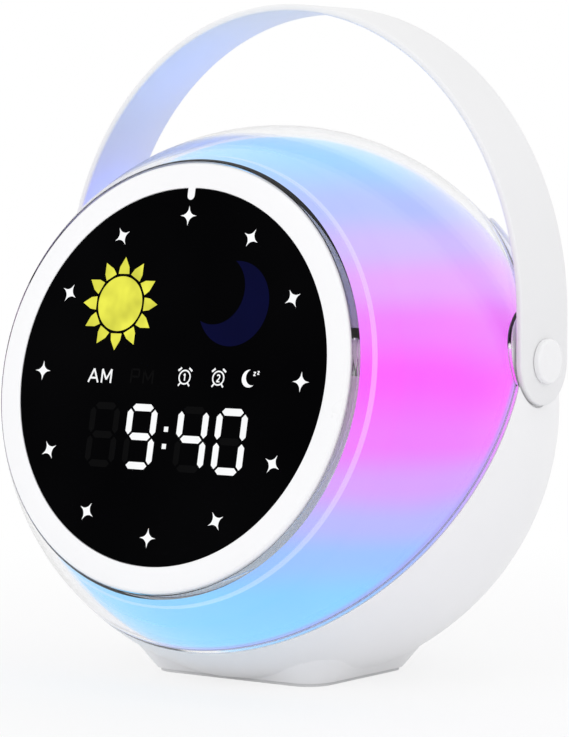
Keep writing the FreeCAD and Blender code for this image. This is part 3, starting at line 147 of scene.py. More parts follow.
class Nodes:
    """A material's node tree, with short calls for what the looks need."""

    def __init__(self, name):
        self.material = bpy.data.materials.new(name)
        self.material.use_nodes = True
        self.tree = self.material.node_tree
        self.shader = self.tree.nodes["Principled BSDF"]
        self.output = self.tree.nodes["Material Output"]

    def add(self, kind, **values):
        node = self.tree.nodes.new(kind)
        for key, value in values.items():
            if hasattr(node, key):
                setattr(node, key, value)
            else:
                node.inputs[key.replace("_", " ")].default_value = value
        return node

    def link(self, source, target):
        self.tree.links.new(source, target)

    def place(self):
        return self.add("ShaderNodeTexCoord").outputs["Object"]

    def noise(self, scale, detail=3.0, place=None, roughness=0.5):
        node = self.add("ShaderNodeTexNoise", Scale=scale, Detail=detail, Roughness=roughness)
        self.link(place or self.place(), node.inputs["Vector"])
        return node.outputs["Fac"]

    def ramp(self, factor, stops, interpolation="LINEAR"):
        node = self.add("ShaderNodeValToRGB")
        ramp = node.color_ramp
        ramp.interpolation = interpolation
        while len(ramp.elements) > 1:
            ramp.elements.remove(ramp.elements[-1])
        ramp.elements[0].position, ramp.elements[0].color = stops[0]
        for position, colour in stops[1:]:
            ramp.elements.new(position).color = colour
        self.link(factor, node.inputs["Fac"])
        return node.outputs["Color"]

    def span(self, value, low, high, to_low=0.0, to_high=1.0, smooth=False):
        node = self.add("ShaderNodeMapRange")
        node.interpolation_type = "SMOOTHSTEP" if smooth else "LINEAR"
        self.link(value, node.inputs["Value"])
        numbers = {"From Min": low, "From Max": high, "To Min": to_low, "To Max": to_high}
        for socket, number in numbers.items():
            node.inputs[socket].default_value = number
        return node.outputs["Result"]

    def maths(self, operation, first, second=0.0):
        node = self.add("ShaderNodeMath", operation=operation)
        for socket, value in zip(node.inputs, (first, second)):
            if isinstance(value, (int, float)):
                socket.default_value = value
            else:
                self.link(value, socket)
        return node.outputs["Value"]

    def mix(self, factor, first, second):
        node = self.add("ShaderNodeMix", data_type="RGBA")
        sockets = (node.inputs["Factor"], node.inputs[6], node.inputs[7])
        for socket, value in zip(sockets, (factor, first, second)):
            if isinstance(value, (tuple, float, int)):
                socket.default_value = value
            else:
                self.link(value, socket)
        return node.outputs[2]

    def bump(self, height, strength, distance):
        node = self.add("ShaderNodeBump", Strength=strength, Distance=distance)
        self.link(height, node.inputs["Height"])
        self.link(node.outputs["Normal"], self.shader.inputs["Normal"])

    def set(self, **values):
        for key, value in values.items():
            self.shader.inputs[key.replace("_", " ")].default_value = value


def plastic(name, colour, roughness=0.32, grain=900.0, depth=0.00002, variation=0.02, coat=0.0):
    """Moulded plastic: faint tone variation, uneven gloss and a fine moulded grain."""
    nodes = Nodes(name)
    place = nodes.place()
    cloud = nodes.noise(22.0, 4.0, place)
    darker = tuple(v * (1 - variation) for v in colour[:3]) + (1.0,)
    nodes.link(nodes.ramp(cloud, [(0.3, darker), (0.7, colour)]), nodes.shader.inputs["Base Color"])
    gloss = nodes.noise(60.0, 3.0, place)
    nodes.link(nodes.span(gloss, 0.3, 0.7, roughness * 0.9, roughness * 1.12),
               nodes.shader.inputs["Roughness"])
    nodes.bump(nodes.noise(grain, 2.0, place), 0.25, depth)
    nodes.set(IOR=1.49, Coat_Weight=coat, Coat_Roughness=0.08)
    return nodes.material


def metal(name, colour, roughness=0.3):
    """Plated or brushed metal."""
    nodes = Nodes(name)
    place = nodes.place()
    cloud = nodes.noise(140.0, 4.0, place)
    darker = tuple(v * 0.85 for v in colour[:3]) + (1.0,)
    nodes.link(nodes.ramp(cloud, [(0.3, darker), (0.7, colour)]), nodes.shader.inputs["Base Color"])
    nodes.link(nodes.span(cloud, 0.2, 0.8, roughness * 0.7, roughness * 1.3),
               nodes.shader.inputs["Roughness"])
    nodes.bump(nodes.noise(1800.0, 2.0, place), 0.2, 0.00001)
    nodes.set(Metallic=1.0)
    return nodes.material


def board(name):
    """Green circuit board with traces and pads under its mask."""
    nodes = Nodes(name)
    place = nodes.place()
    cells = nodes.add("ShaderNodeTexVoronoi", feature="DISTANCE_TO_EDGE", Scale=420.0)
    nodes.link(place, cells.inputs["Vector"])
    trace = nodes.span(cells.outputs["Distance"], 0.02, 0.06)
    colour = nodes.mix(trace, linear(58, 118, 66), linear(22, 78, 42))
    nodes.link(colour, nodes.shader.inputs["Base Color"])
    nodes.bump(trace, 0.3, 0.00003)
    nodes.set(Roughness=0.4)
    return nodes.material


def clear_plastic(name):
    """Polished clear plastic with a trace of blue and faint moulding waves."""
    nodes = Nodes(name)
    place = nodes.place()
    waves = nodes.noise(45.0, 1.0, place)
    nodes.link(nodes.span(waves, 0.2, 0.8, 0.01, 0.035), nodes.shader.inputs["Roughness"])
    nodes.link(nodes.ramp(waves, [(0.3, linear(250, 251, 255)), (0.7, linear(255, 255, 255))]),
               nodes.shader.inputs["Base Color"])
    nodes.set(IOR=1.36, Transmission_Weight=1.0)
    return nodes.material


# colours of the lit dome by height above the table, in millimetres: a painted glow, a fixed emission that
# stands in for the colour lamps' light through the milky plastic
GLOW = [
    (10.0, (140, 216, 255)),
    (24.0, (144, 211, 255)),
    (33.0, (160, 198, 255)),
    (40.0, (188, 188, 255)),
    (48.0, (220, 166, 254)),
    (56.0, (244, 134, 253)),
    (68.0, (252, 108, 253)),
    (78.0, (245, 136, 254)),
    (87.0, (234, 170, 254)),
    (95.0, (212, 190, 255)),
    (104.0, (186, 198, 255)),
    (116.0, (165, 218, 255)),
]
# share of white that the clear dome's gloss lays over the glow
SHEEN = 0.055
# how far the colours sway up and down, in millimetres
GLOW_SWAY = 2.5
# painted shade: the glow dims to a paler lavender towards the seam, where the lamps inside do not light the
# dome; that colour, the glow's share at the seam and how far it fades, in millimetres
SEAM_SHADE_COLOUR = (168, 156, 240)
SEAM_SHARE = 0.35
SEAM_FADE = 1.6


def glowing(name, strength, paler=0.0):
    """Milky plastic with a painted glow standing in for the light of the lamps inside, its colour running
    from blue through pink to blue.
    """
    nodes = Nodes(name)
    place = nodes.place()
    axes = nodes.add("ShaderNodeSeparateXYZ")
    nodes.link(place, axes.inputs["Vector"])
    sway = nodes.span(nodes.noise(18.0, 1.0, place), 0.3, 0.7, -GLOW_SWAY * MM, GLOW_SWAY * MM)
    height = nodes.maths("ADD", axes.outputs["Z"], sway)
    low, high = GLOW[0][0] * MM, GLOW[-1][0] * MM
    stops = [((z * MM - low) / (high - low), tuple(max(v - SHEEN, 0) for v in linear(*colour)[:3]) + (1.0,))
             for z, colour in GLOW]
    colour = nodes.ramp(nodes.span(height, low, high), stops, "EASE")
    lean = nodes.add("ShaderNodeVectorMath", operation="DOT_PRODUCT")
    nodes.link(place, lean.inputs[0])
    lean.inputs[1].default_value = SEAM_NORMAL
    # painted shade towards the seam, where the lamps inside light the milky dome less
    level = (SEAM_NORMAL.dot(BALL_CENTRE) + SKIRT_FOOT) * MM
    fade = nodes.span(lean.outputs["Value"], level, level + SEAM_FADE * MM, SEAM_SHARE, 1.0, smooth=True)
    colour = nodes.mix(fade, linear(*SEAM_SHADE_COLOUR), colour)
    if paler:
        colour = nodes.mix(paler, colour, (1, 1, 1, 1))
    # painted light: the base colour is the glow's colour darkened, so the lamps' tint shows in the
    # plastic's own colour too
    nodes.link(nodes.mix(0.88, colour, (0, 0, 0, 1)), nodes.shader.inputs["Base Color"])
    nodes.link(colour, nodes.shader.inputs["Emission Color"])
    nodes.set(Emission_Strength=strength, Roughness=0.5, IOR=1.3, Specular_IOR_Level=0.2)
    nodes.bump(nodes.noise(700.0, 2.0, place), 0.15, 0.00002)
    return nodes.material


def shining(name, colour, strength, darker=0.9):
    """A mark of the dial, lit from behind, a little uneven."""
    nodes = Nodes(name)
    cloud = nodes.noise(160.0, 2.0)
    shade = tuple(v * darker for v in colour[:3]) + (1.0,)
    tone = nodes.ramp(cloud, [(0.35, shade), (0.65, colour)])
    nodes.link(tone, nodes.shader.inputs["Emission Color"])
    nodes.set(Base_Color=(0.002, 0.002, 0.002, 1), Emission_Strength=strength, Roughness=0.5,
              Specular_IOR_Level=0.01)
    return nodes.material


# mesh helpers

def finish_piece(piece, material, body=BODY, sharp=35.0):
    piece.data.materials.clear()
    piece.data.materials.append(material)
    piece.data.polygons.foreach_set("use_smooth", [True] * len(piece.data.polygons))
    piece.data.set_sharp_from_angle(angle=math.radians(sharp))
    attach(piece, body)
    return piece


def new_mesh(name, places, faces):
    """Mesh object from places in millimetres."""
    mesh = bpy.data.meshes.new(name)
    mesh.from_pydata([Vector(place) * MM for place in places], [], faces)
    mesh.validate()
    work = bmesh.new()
    work.from_mesh(mesh)
    bmesh.ops.recalc_face_normals(work, faces=work.faces)
    work.to_mesh(mesh)
    work.free()
    mesh.update()
    piece = bpy.data.objects.new(name, mesh)
    bpy.context.scene.collection.objects.link(piece)
    return piece


def ring_faces(rings, count, closed=False):
    """Quads between neighbouring rings of count places each."""
    faces = []
    for row in range(rings if closed else rings - 1):
        following = (row + 1) % rings
        for step in range(count):
            other = (step + 1) % count
            faces.append((row * count + step, row * count + other,
                          following * count + other, following * count + step))
    return faces


def rounded(corners, steps=5):
    """Outline places from (x, y, radius) corners, each rounded by an arc."""
    places = []
    for index, (x, y, radius) in enumerate(corners):
        here = Vector((x, y))
        if radius <= 0:
            places.append(here)
            continue
        before = (Vector(corners[index - 1][:2]) - here).normalized()
        after = (Vector(corners[(index + 1) % len(corners)][:2]) - here).normalized()
        half = before.angle(after) / 2
        reach = radius / math.tan(half)
        centre = here + (before + after).normalized() * radius / math.sin(half)
        start = here + before * reach - centre
        end = here + after * reach - centre
        for step in range(steps + 1):
            share = step / steps
            arm = start.slerp(end, share) if 0 < share < 1 else (start if share == 0 else end)
            places.append(centre + arm.normalized() * radius)
    return places


def lathe(name, place, corners, segments=256):
    """Ring turned about the frame's Z axis from a closed outline of (radius, height, round)."""
    outline = rounded(corners)
    places = []
    for radius, height in outline:
        for step in range(segments):
            angle = FULL_TURN * step / segments
            places.append(place @ Vector((radius * math.cos(angle), radius * math.sin(angle), height)))
    return new_mesh(name, places, ring_faces(len(outline), segments, closed=True))


def plate(name, place, outlines, low, high):
    """Flat closed pieces of the given outlines, between two heights of the frame."""
    places, faces = [], []
    for outline in outlines:
        count, first = len(outline), len(places)
        for level in (low, high):
            places += [place @ Vector((x, y, level)) for x, y in outline]
        faces.append(tuple(first + count + step for step in range(count)))
        faces.append(tuple(first + step for step in reversed(range(count))))
        for step in range(count):
            other = (step + 1) % count
            faces.append((first + step, first + other, first + count + other, first + count + step))
    return new_mesh(name, places, faces)


def circle(x, y, radius, count=48):
    turns = [FULL_TURN * step / count for step in range(count)]
    return [(x + radius * math.cos(turn), y + radius * math.sin(turn)) for turn in turns]


def bevel(piece, width, segments=3, angle=40.0):
    modifier = piece.modifiers.new("edges", "BEVEL")
    modifier.width = width * MM
    modifier.segments = segments
    modifier.limit_method = "ANGLE"
    modifier.angle_limit = math.radians(angle)
    modifier.harden_normals = False


# shells of the dome

def on_ball(radius, polar, around):
    reach = math.sin(polar)
    local = Vector((reach * math.cos(around), reach * math.sin(around), math.cos(polar)))
    return FACE_BALL @ (local * radius)


def open_here(place, level):
    """True where the shell has material: before the seam and outside the handle's ears."""
    if (place - BALL_CENTRE).dot(SEAM_NORMAL) < level:
        return False
    away = place - PIVOT
    return math.hypot(away.y, away.z) > EAR_CLEAR


def rim_angle(radius, around, start, level):
    """Polar angle at which the shell ends, along one direction from the dial."""
    low, high = start, start
    while open_here(on_ball(radius, high, around), level):
        low, high = high, high + RIM_STEP
        if high > math.pi:
            return math.pi
    for _ in range(RIM_HALVINGS):
        middle = (low + high) / 2
        if open_here(on_ball(radius, middle, around), level):
            low = middle
        else:
            high = middle
    return low


def mouth_angle(radius, mouth, around):
    """Polar angle on a ball at which it meets a circle about the dial's axis."""
    reach = math.sqrt(mouth ** 2 - (FACE_DROP * math.cos(around)) ** 2) - FACE_DROP * math.sin(around)
    return math.asin(reach / radius)


def shell_loop(radius, mouth, level=None):
    """Places round the shell at its mouth, or at its rim where a level is given."""
    places = []
    for step in range(DOME_SEGMENTS):
        around = FULL_TURN * step / DOME_SEGMENTS
        start = mouth_angle(radius, mouth, around)
        end = start if level is None else rim_angle(radius, around, start, level)
        places.append((radius, end, around))
    return places


def shell_rows(radius, mouth, level):
    """Rows of places over one side of a shell, from its mouth to its rim."""
    ends = list(zip(shell_loop(radius, mouth), shell_loop(radius, mouth, level)))
    return [[(radius, near[1] + (far[1] - near[1]) * row / DOME_ROWS, near[2]) for near, far in ends]
            for row in range(DOME_ROWS + 1)]


def shell_mesh(name, loops):
    places = [on_ball(*place) for loop in loops for place in loop]
    return new_mesh(name, places, ring_faces(len(loops), DOME_SEGMENTS, closed=True))


def make_dome():
    inner = BALL_RADIUS - DOME_WALL
    outer = BALL_RADIUS - DOME_INSET
    dome = shell_mesh("clear_dome", shell_rows(outer, DOME_MOUTH, SEAM_LEVEL)
                      + shell_rows(inner, DOME_MOUTH, SEAM_LEVEL)[::-1])
    finish_piece(dome, clear_plastic("clear_dome_plastic"))
    bevel(dome, 0.35, 3, 50)
    dome.visible_shadow = False
    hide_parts("clear_shell")
    low = DIFFUSER_RADIUS - SHOULDER_STEP
    back = DIFFUSER_RADIUS - DIFFUSER_WALL
    loops = [shell_loop(radius, reach)
             for radius, reach in ((COLLAR_TOP, COLLAR_IN), (COLLAR_TOP, COLLAR_OUT), (low, COLLAR_OUT),
                                   (low, SHOULDER_RADIUS))]
    loops += shell_rows(DIFFUSER_RADIUS, SHOULDER_RADIUS, DIFFUSER_RIM + RIM_TURN)
    loops += [shell_loop(radius, DIFFUSER_MOUTH, level)
              for radius, level in ((SKIRT_OUT, DIFFUSER_RIM + SKIRT_HEAD), (SKIRT_OUT, SKIRT_FOOT),
                                    (SKIRT_IN, SKIRT_FOOT), (SKIRT_IN, DIFFUSER_RIM + RIM_BACK))]
    loops += shell_rows(back, DIFFUSER_MOUTH, DIFFUSER_RIM + RIM_BACK)[::-1]
    milky = shell_mesh("light_dome", loops)
    finish_piece(milky, glowing("light_dome_glow", 1.0))
    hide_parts("diffuser")
    rib = lathe("light_dome_rib", FACE, [
        (RIB_RADIUS, RIB_LEVEL - RIB_DEPTH, 0),
        (RIB_RADIUS - RIB_WIDTH, RIB_LEVEL - RIB_DEPTH, 0),
        (RIB_RADIUS - RIB_WIDTH, RIB_LEVEL, 0.1),
        (RIB_RADIUS, RIB_LEVEL, 0.1),
    ])
    finish_piece(rib, glowing("light_dome_rib_glow", 1.0, paler=0.22))


# front ring and window

def make_bezel():
    inner = WINDOW_RADIUS + WINDOW_GAP
    back = FACE_LEVEL - WINDOW_THICKNESS
    ledge = back - LEDGE_THICKNESS
    ring = lathe("front_ring", FACE, [
        (inner, FACE_LEVEL, 0.25),
        (inner, back, 0),
        (LEDGE_RADIUS, back, 0),
        (LEDGE_RADIUS, ledge, 0),
        (BEZEL_RADIUS - BEZEL_WALL, ledge, 0),
        (BEZEL_RADIUS - BEZEL_WALL, FACE_LEVEL - BEZEL_DEPTH, 0),
        (BEZEL_RADIUS, FACE_LEVEL - BEZEL_DEPTH, 0),
        (BEZEL_RADIUS, FACE_LEVEL, 0.8),
    ])
    finish_piece(ring, plastic("front_ring_plastic", WHITE, 0.3, coat=0.3))
    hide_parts("bezel_ring")
    outline = [(KEY_HALF, inner + KEY_ROOT), (-KEY_HALF, inner + KEY_ROOT)]
    outline += [(KEY_HALF * math.cos(a), KEY_TIP + KEY_HALF + KEY_HALF * math.sin(a))
                for a in [math.pi + math.pi * step / KEY_STEPS for step in range(KEY_STEPS + 1)]]
    key = plate("front_ring_key", FACE, [outline], back + KEY_FOOT, FACE_LEVEL + KEY_PROUD)
    finish_piece(key, plastic("front_ring_key_plastic", WHITE, 0.3))


def make_window():
    back = FACE_LEVEL - WINDOW_THICKNESS
    window = lathe("dark_window", FACE, [
        (AXIS_RADIUS, FACE_LEVEL, 0),
        (AXIS_RADIUS, back, 0),
        (WINDOW_RADIUS, back, 0),
        (WINDOW_RADIUS, FACE_LEVEL, 0.2),
    ])
    nodes = Nodes("dark_window_plastic")
    cloud = nodes.noise(25.0, 2.0)
    nodes.link(nodes.ramp(cloud, [(0.3, linear(2, 2, 3)), (0.7, linear(5, 5, 6))]),
               nodes.shader.inputs["Base Color"])
    nodes.link(nodes.span(cloud, 0.3, 0.7, 0.24, 0.3), nodes.shader.inputs["Roughness"])
    nodes.set(IOR=1.3, Specular_IOR_Level=0.015)
    finish_piece(window, nodes.material)
    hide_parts("display_window")


# marks on the dial, in millimetres on the face plane

MARK_LOW = FACE_LEVEL
MARK_HIGH = FACE_LEVEL + 0.03
STAR_CIRCLE = 35.0
DIGIT_ROW = -13.4
DIGIT_PLACES = ((-15.9, ""), (-5.6, "9"), (8.25, "4"), (18.5, "0"))
COLON_X = 1.3
COLON_ROWS = (-11.5, -15.2)
COLON_HALF = 0.55
LETTER_HEIGHT = 3.0
LETTER_STROKE = 0.42
SUN_X = -15.7
SUN_Y = 15.4
SUN_DISC = 6.05
SUN_RAYS = 12
# one ray's outline: share of the ray's own turn and distance from the sun's centre
SUN_RAY = ((-0.42, 6.75), (-0.3, 8.2), (0.0, 10.3), (0.3, 8.2), (0.42, 6.75), (0, 6.6))
DIGITS = {"9": "abcdfg", "4": "bcfg", "0": "abcdef"}


def star(x, y, turn, reach=2.15, hollow=0.56):
    """Four-pointed star with hollowed sides."""
    outline = []
    for step in range(40):
        angle = FULL_TURN * step / 40
        spread = abs(math.sin(angle)) ** hollow + abs(math.cos(angle)) ** hollow
        radius = reach / spread ** (1 / hollow)
        outline.append((x + radius * math.sin(angle + turn), y + radius * math.cos(angle + turn)))
    return outline


def bar(x, y, length, width, upright):
    """Six-sided bar of a digit."""
    half, thin = length / 2, width / 2
    outline = [(-half, 0), (thin - half, -thin), (half - thin, -thin),
               (half, 0), (half - thin, thin), (thin - half, thin)]
    if upright:
        outline = [(-b, a) for a, b in outline]
    return [(x + a, y + b) for a, b in outline]


def digit_bars(x, y, half_width=3.3, half_height=6.3, width=1.55, gap=0.2):
    """A digit's seven bars by their usual letters."""
    across, along = 2 * half_width - 2 * gap - 0.5, half_height - 2 * gap - 0.3
    return {
        "a": bar(x, y + half_height, across, width, False),
        "g": bar(x, y, across, width, False),
        "d": bar(x, y - half_height, across, width, False),
        "b": bar(x + half_width, y + half_height / 2, along, width, True),
        "c": bar(x + half_width, y - half_height / 2, along, width, True),
        "f": bar(x - half_width, y + half_height / 2, along, width, True),
        "e": bar(x - half_width, y - half_height / 2, along, width, True),
    }


def crescent(x, y, radius, bite, shift, turn, count=40):
    """Moon outline: a disc less a smaller one shifted along turn."""
    cosine = (radius * radius + shift * shift - bite * bite) / (2 * radius * shift)
    half = math.acos(cosine)
    outer = [turn + half + (FULL_TURN - 2 * half) * step / count for step in range(count + 1)]
    places = [(radius * math.cos(a), radius * math.sin(a)) for a in outer]
    centre = (shift * math.cos(turn), shift * math.sin(turn))
    start = math.atan2(places[-1][1] - centre[1], places[-1][0] - centre[0])
    end = math.atan2(places[0][1] - centre[1], places[0][0] - centre[0])
    sweep = (end - start) % FULL_TURN - FULL_TURN
    places += [(centre[0] + bite * math.cos(start + sweep * step / count),
                centre[1] + bite * math.sin(start + sweep * step / count)) for step in range(1, count)]
    return [(x + a, y + b) for a, b in places]


def annulus(x, y, radius, width, count=40):
    """Thin ring as quads side by side."""
    inner = radius - width
    quads = []
    for step in range(count):
        a, b = FULL_TURN * step / count, FULL_TURN * (step + 1) / count
        quads.append([(x + inner * math.cos(a), y + inner * math.sin(a)),
                      (x + radius * math.cos(a), y + radius * math.sin(a)),
                      (x + radius * math.cos(b), y + radius * math.sin(b)),
                      (x + inner * math.cos(b), y + inner * math.sin(b))])
    return quads


def stroke(x0, y0, x1, y1, width):
    """Straight mark with square ends."""
    run = Vector((x1 - x0, y1 - y0)).normalized()
    side = Vector((-run.y, run.x)) * width / 2
    return [(x0 - side.x, y0 - side.y), (x1 - side.x, y1 - side.y),
            (x1 + side.x, y1 + side.y), (x0 + side.x, y0 + side.y)]


def letter_strokes(letter, x, y, height, width, thick):
    """Plain capital letter or digit from straight marks, its lower left corner at x, y."""
    lines = {
        "A": [(0, 0, 0.5, 1), (1, 0, 0.5, 1), (0.2, 0.33, 0.8, 0.33)],
        "M": [(0, 0, 0, 1), (1, 0, 1, 1), (0, 1, 0.5, 0.25), (0.5, 0.25, 1, 1)],
        "P": [(0, 0, 0, 1), (0, 1, 0.95, 1), (0.95, 1, 0.95, 0.48), (0.95, 0.48, 0, 0.48)],
        "z": [(0, 1, 1, 1), (1, 1, 0, 0), (0, 0, 1, 0)],
        "1": [(0.55, 0, 0.55, 1), (0.55, 1, 0.15, 0.75)],
        "2": [(0.05, 0.85, 0.5, 1), (0.5, 1, 0.95, 0.8), (0.95, 0.8, 0.85, 0.52),
              (0.85, 0.52, 0.05, 0), (0.05, 0, 1, 0)],
    }[letter]
    return [stroke(x + a * width, y + b * height, x + c * width, y + d * height, thick)
            for a, b, c, d in lines]


def alarm_icon(x, y, number):
    """Small alarm clock: a ring with ears and feet, and a number inside."""
    marks = annulus(x, y, 1.62, 0.32)
    for side in (-1, 1):
        marks.append(stroke(x + side * 1.0, y + 2.0, x + side * 1.85, y + 1.35, 0.42))
        marks.append(stroke(x + side * 1.0, y - 1.3, x + side * 1.5, y - 1.9, 0.36))
    return marks + letter_strokes(number, x - 0.42, y - 0.75, 1.5, 0.84, 0.3)


def make_marks():
    white = shining("mark_white", linear(253, 254, 255), 1.0, 0.96)
    # the unlit bars and letters get a faint painted glow so they show through the dark window
    ghost = shining("mark_unlit", linear(5, 5, 6), 1.0, 0.8)
    hours = [FULL_TURN * hour / 12 for hour in range(12)]
    stars = [star(STAR_CIRCLE * math.sin(turn), STAR_CIRCLE * math.cos(turn), turn) for turn in hours]
    finish_piece(plate("dial_stars", FACE, stars, MARK_LOW, MARK_HIGH), white)

    lit, unlit = [], []
    for x, shown in DIGIT_PLACES:
        for letter, outline in digit_bars(x, DIGIT_ROW).items():
            (lit if shown and letter in DIGITS[shown] else unlit).append(outline)
    for y in COLON_ROWS:
        left, right = COLON_X - COLON_HALF, COLON_X + COLON_HALF
        lit.append([(left, y - COLON_HALF), (right, y - COLON_HALF),
                    (right, y + COLON_HALF), (left, y + COLON_HALF)])
    finish_piece(plate("dial_digits", FACE, lit, MARK_LOW, MARK_HIGH), white)
    finish_piece(plate("dial_digits_unlit", FACE, unlit, MARK_LOW, MARK_HIGH), ghost)

    icons = letter_strokes("A", -21.8, -2.1, LETTER_HEIGHT, 2.7, LETTER_STROKE)
    icons += letter_strokes("M", -18.1, -2.1, LETTER_HEIGHT, 2.5, LETTER_STROKE)
    icons += alarm_icon(4.5, -0.1, "1") + alarm_icon(13.5, 0.0, "2")
    icons += [crescent(21.6, 0.2, 1.9, 1.75, 0.95, math.radians(20))]
    icons += letter_strokes("z", 22.6, 0.9, 0.7, 0.6, 0.2) + letter_strokes("z", 23.6, 1.2, 0.6, 0.5, 0.2)
    finish_piece(plate("dial_icons", FACE, icons, MARK_LOW, MARK_HIGH), white)
    spare = letter_strokes("P", -10.0, -1.9, LETTER_HEIGHT, 2.2, LETTER_STROKE)
    spare += letter_strokes("M", -6.6, -1.9, LETTER_HEIGHT, 2.5, LETTER_STROKE)
    finish_piece(plate("dial_icons_unlit", FACE, spare, MARK_LOW, MARK_HIGH), ghost)

    rays = []
    for step in range(SUN_RAYS):
        outline = []
        for share, radius in SUN_RAY:
            turn = FULL_TURN * (step + share) / SUN_RAYS
            outline.append((SUN_X + radius * math.sin(turn), SUN_Y + radius * math.cos(turn)))
        rays.append(outline[::-1])
    yellow = shining("mark_yellow", linear(241, 240, 84), 1.0, 0.72)
    sun = plate("dial_sun", FACE, rays + [circle(SUN_X, SUN_Y, SUN_DISC, 64)], MARK_LOW, MARK_HIGH)
    finish_piece(sun, yellow)
    moon_outline = crescent(15.1, 16.1, radius=9.2, bite=7.6, shift=5.9, turn=math.radians(150))
    moon = plate("dial_moon", FACE, [moon_outline], MARK_LOW, MARK_HIGH)
    finish_piece(moon, shining("mark_navy", linear(2, 4, 46), 1.0))


# handle and pivots

def handle_section(half_width, steps=4):
    """Rounded section of the band as (share of thickness, offset across the width)."""
    radius = min(HANDLE_ROUND, half_width * 0.9)
    across = HANDLE_THICKNESS
    corners = [(0, -half_width, radius), (across, -half_width, radius),
               (across, half_width, radius), (0, half_width, radius)]
    return [(x / across, y) for x, y in rounded(corners, steps)]


def arch_place(share, along):
    """Point on the arch: share 0 inside to 1 outside, along from the left leg to the right."""
    wide = HANDLE_RADIUS - HANDLE_THICKNESS * (1 - share)
    tall = ARCH_HEIGHT - HANDLE_THICKNESS * (1 - share)
    kind, value = along
    if kind == "arch":
        return Vector((-wide * math.cos(value), PIVOT.y, ARCH_RISE + tall * math.sin(value)))
    side, height = value
    return Vector((side * wide, PIVOT.y, height))


def make_handle():
    half = HANDLE_WIDTH / 2
    legs = []
    for step in range(TIP_STEPS + 1):
        angle = math.pi / 2 * step / TIP_STEPS
        height = PIVOT.z - half * math.cos(angle) * TIP_SHARE
        legs.append((height, max(half * math.sin(angle), TIP_HALF_WIDTH)))
    legs += [(PIVOT.z + (ARCH_RISE - PIVOT.z) * step / LEG_STEPS, half) for step in range(1, LEG_STEPS)]
    stations = [(("leg", (-1, height)), width) for height, width in legs]
    stations += [(("arch", math.pi * step / ARCH_STEPS), half) for step in range(ARCH_STEPS + 1)]
    stations += [(("leg", (1, height)), width) for height, width in reversed(legs)]
    places = []
    count = None
    for along, width in stations:
        section = handle_section(width)
        count = len(section)
        places += [arch_place(share, along) + Vector((0, offset, 0)) for share, offset in section]
    faces = ring_faces(len(stations), count)
    faces.append(tuple(range(count))[::-1])
    faces.append(tuple(range((len(stations) - 1) * count, len(stations) * count)))
    band = new_mesh("carry_handle", places, faces)
    white = plastic("handle_plastic", linear(240, 240, 241), 0.38)
    finish_piece(band, white, "handle", 50)
    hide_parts("handle")


def make_caps():
    white = plastic("pivot_cap_plastic", WHITE, 0.26, coat=0.4)
    for side, name in ((-1, "left"), (1, "right")):
        turn = Matrix.Rotation(side * math.pi / 2, 4, "Y")
        place = Matrix.Translation(PIVOT) @ turn
        cap = lathe(f"round_cap_{name}", place, [
            (AXIS_RADIUS, CAP_START + CAP_HEIGHT, 0),
            (AXIS_RADIUS, CAP_START - CAP_STEM_LENGTH, 0),
            (CAP_STEM_RADIUS, CAP_START - CAP_STEM_LENGTH, 0),
            (CAP_STEM_RADIUS, CAP_START, 0),
            (CAP_RADIUS, CAP_START, 0.15),
            (CAP_RADIUS, CAP_START + CAP_HEIGHT, 0.55),
        ], 128)
        finish_piece(cap, white)
        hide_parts(f"pivot_cap_{name}")


# finishes of the nodes that keep their own shape

def dress_nodes():
    white = plastic("shell_plastic", WHITE, 0.36)
    finishes = {
        "rear_shell": white,
        "foot_mat": plastic("mat_rubber", linear(232, 232, 233), 0.8, 1500.0, 0.00006, 0.08),
    }
    inner_white = plastic("inner_plastic", linear(232, 232, 236), 0.5)
    for name in ("light_block", "chassis", "battery_holder", "button_saddle", "speaker_clamp"):
        finishes[name] = inner_white
    mask = board("board_mask")
    for name in ("display_board", "light_ring_board", "control_board", "charge_board"):
        finishes[name] = mask
    steel = metal("screw_steel", linear(170, 170, 174))
    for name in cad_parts:
        if name.endswith("screws") or name == "pivot_washers":
            finishes[name] = steel
    finishes["charge_socket"] = metal("port_metal", linear(200, 200, 204), 0.25)
    finishes["speaker_basket"] = metal("basket_metal", linear(70, 70, 72), 0.45)
    finishes["speaker_magnet"] = metal("magnet_metal", linear(120, 120, 124), 0.4)
    finishes["speaker_cone"] = plastic("cone_paper", linear(34, 34, 36), 0.85, 2200.0, 0.00008, 0.2)
    finishes["battery_cell"] = plastic("cell_wrap", linear(48, 98, 168), 0.3, variation=0.1)
    finishes["dial_film"] = plastic("film_print", linear(22, 22, 24), 0.6, variation=0.1)
    finishes["button_flex"] = plastic("flex_amber", linear(190, 120, 40), 0.4, variation=0.1)
    dark = plastic("chip_black", linear(30, 30, 32), 0.5, 1600.0, 0.00004, 0.15)
    finishes["control_chips"] = dark
    finishes["tact_switches"] = dark
    lamp = shining("lamp_lens", linear(250, 240, 205), 0.4)
    finishes["display_lamps"] = lamp
    finishes["colour_lamps"] = lamp
    button = plastic("button_plastic", linear(238, 238, 241), 0.3, coat=0.3)
    for number in range(1, 6):
        finishes[f"button_{number}"] = button
    for name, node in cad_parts.items():
        if node.hide_render:
            continue
        node.data.materials.clear()
        node.data.materials.append(finishes[name])
        node.data.polygons.foreach_set("use_smooth", [True] * len(node.data.polygons))
        node.data.set_sharp_from_angle(angle=math.radians(25))


# floor, light and camera

# name, place and side in metres, and energy in watts, of each studio lamp
STUDIO_LAMPS = [
    ("key", (-0.35, -0.95, 0.33), 2.2, 0.8),
    ("fill", (0.95, -0.35, 0.45), 1.55, 0.8),
    ("top", (0.1, 0.3, 1.1), 1.3, 0.9),
]
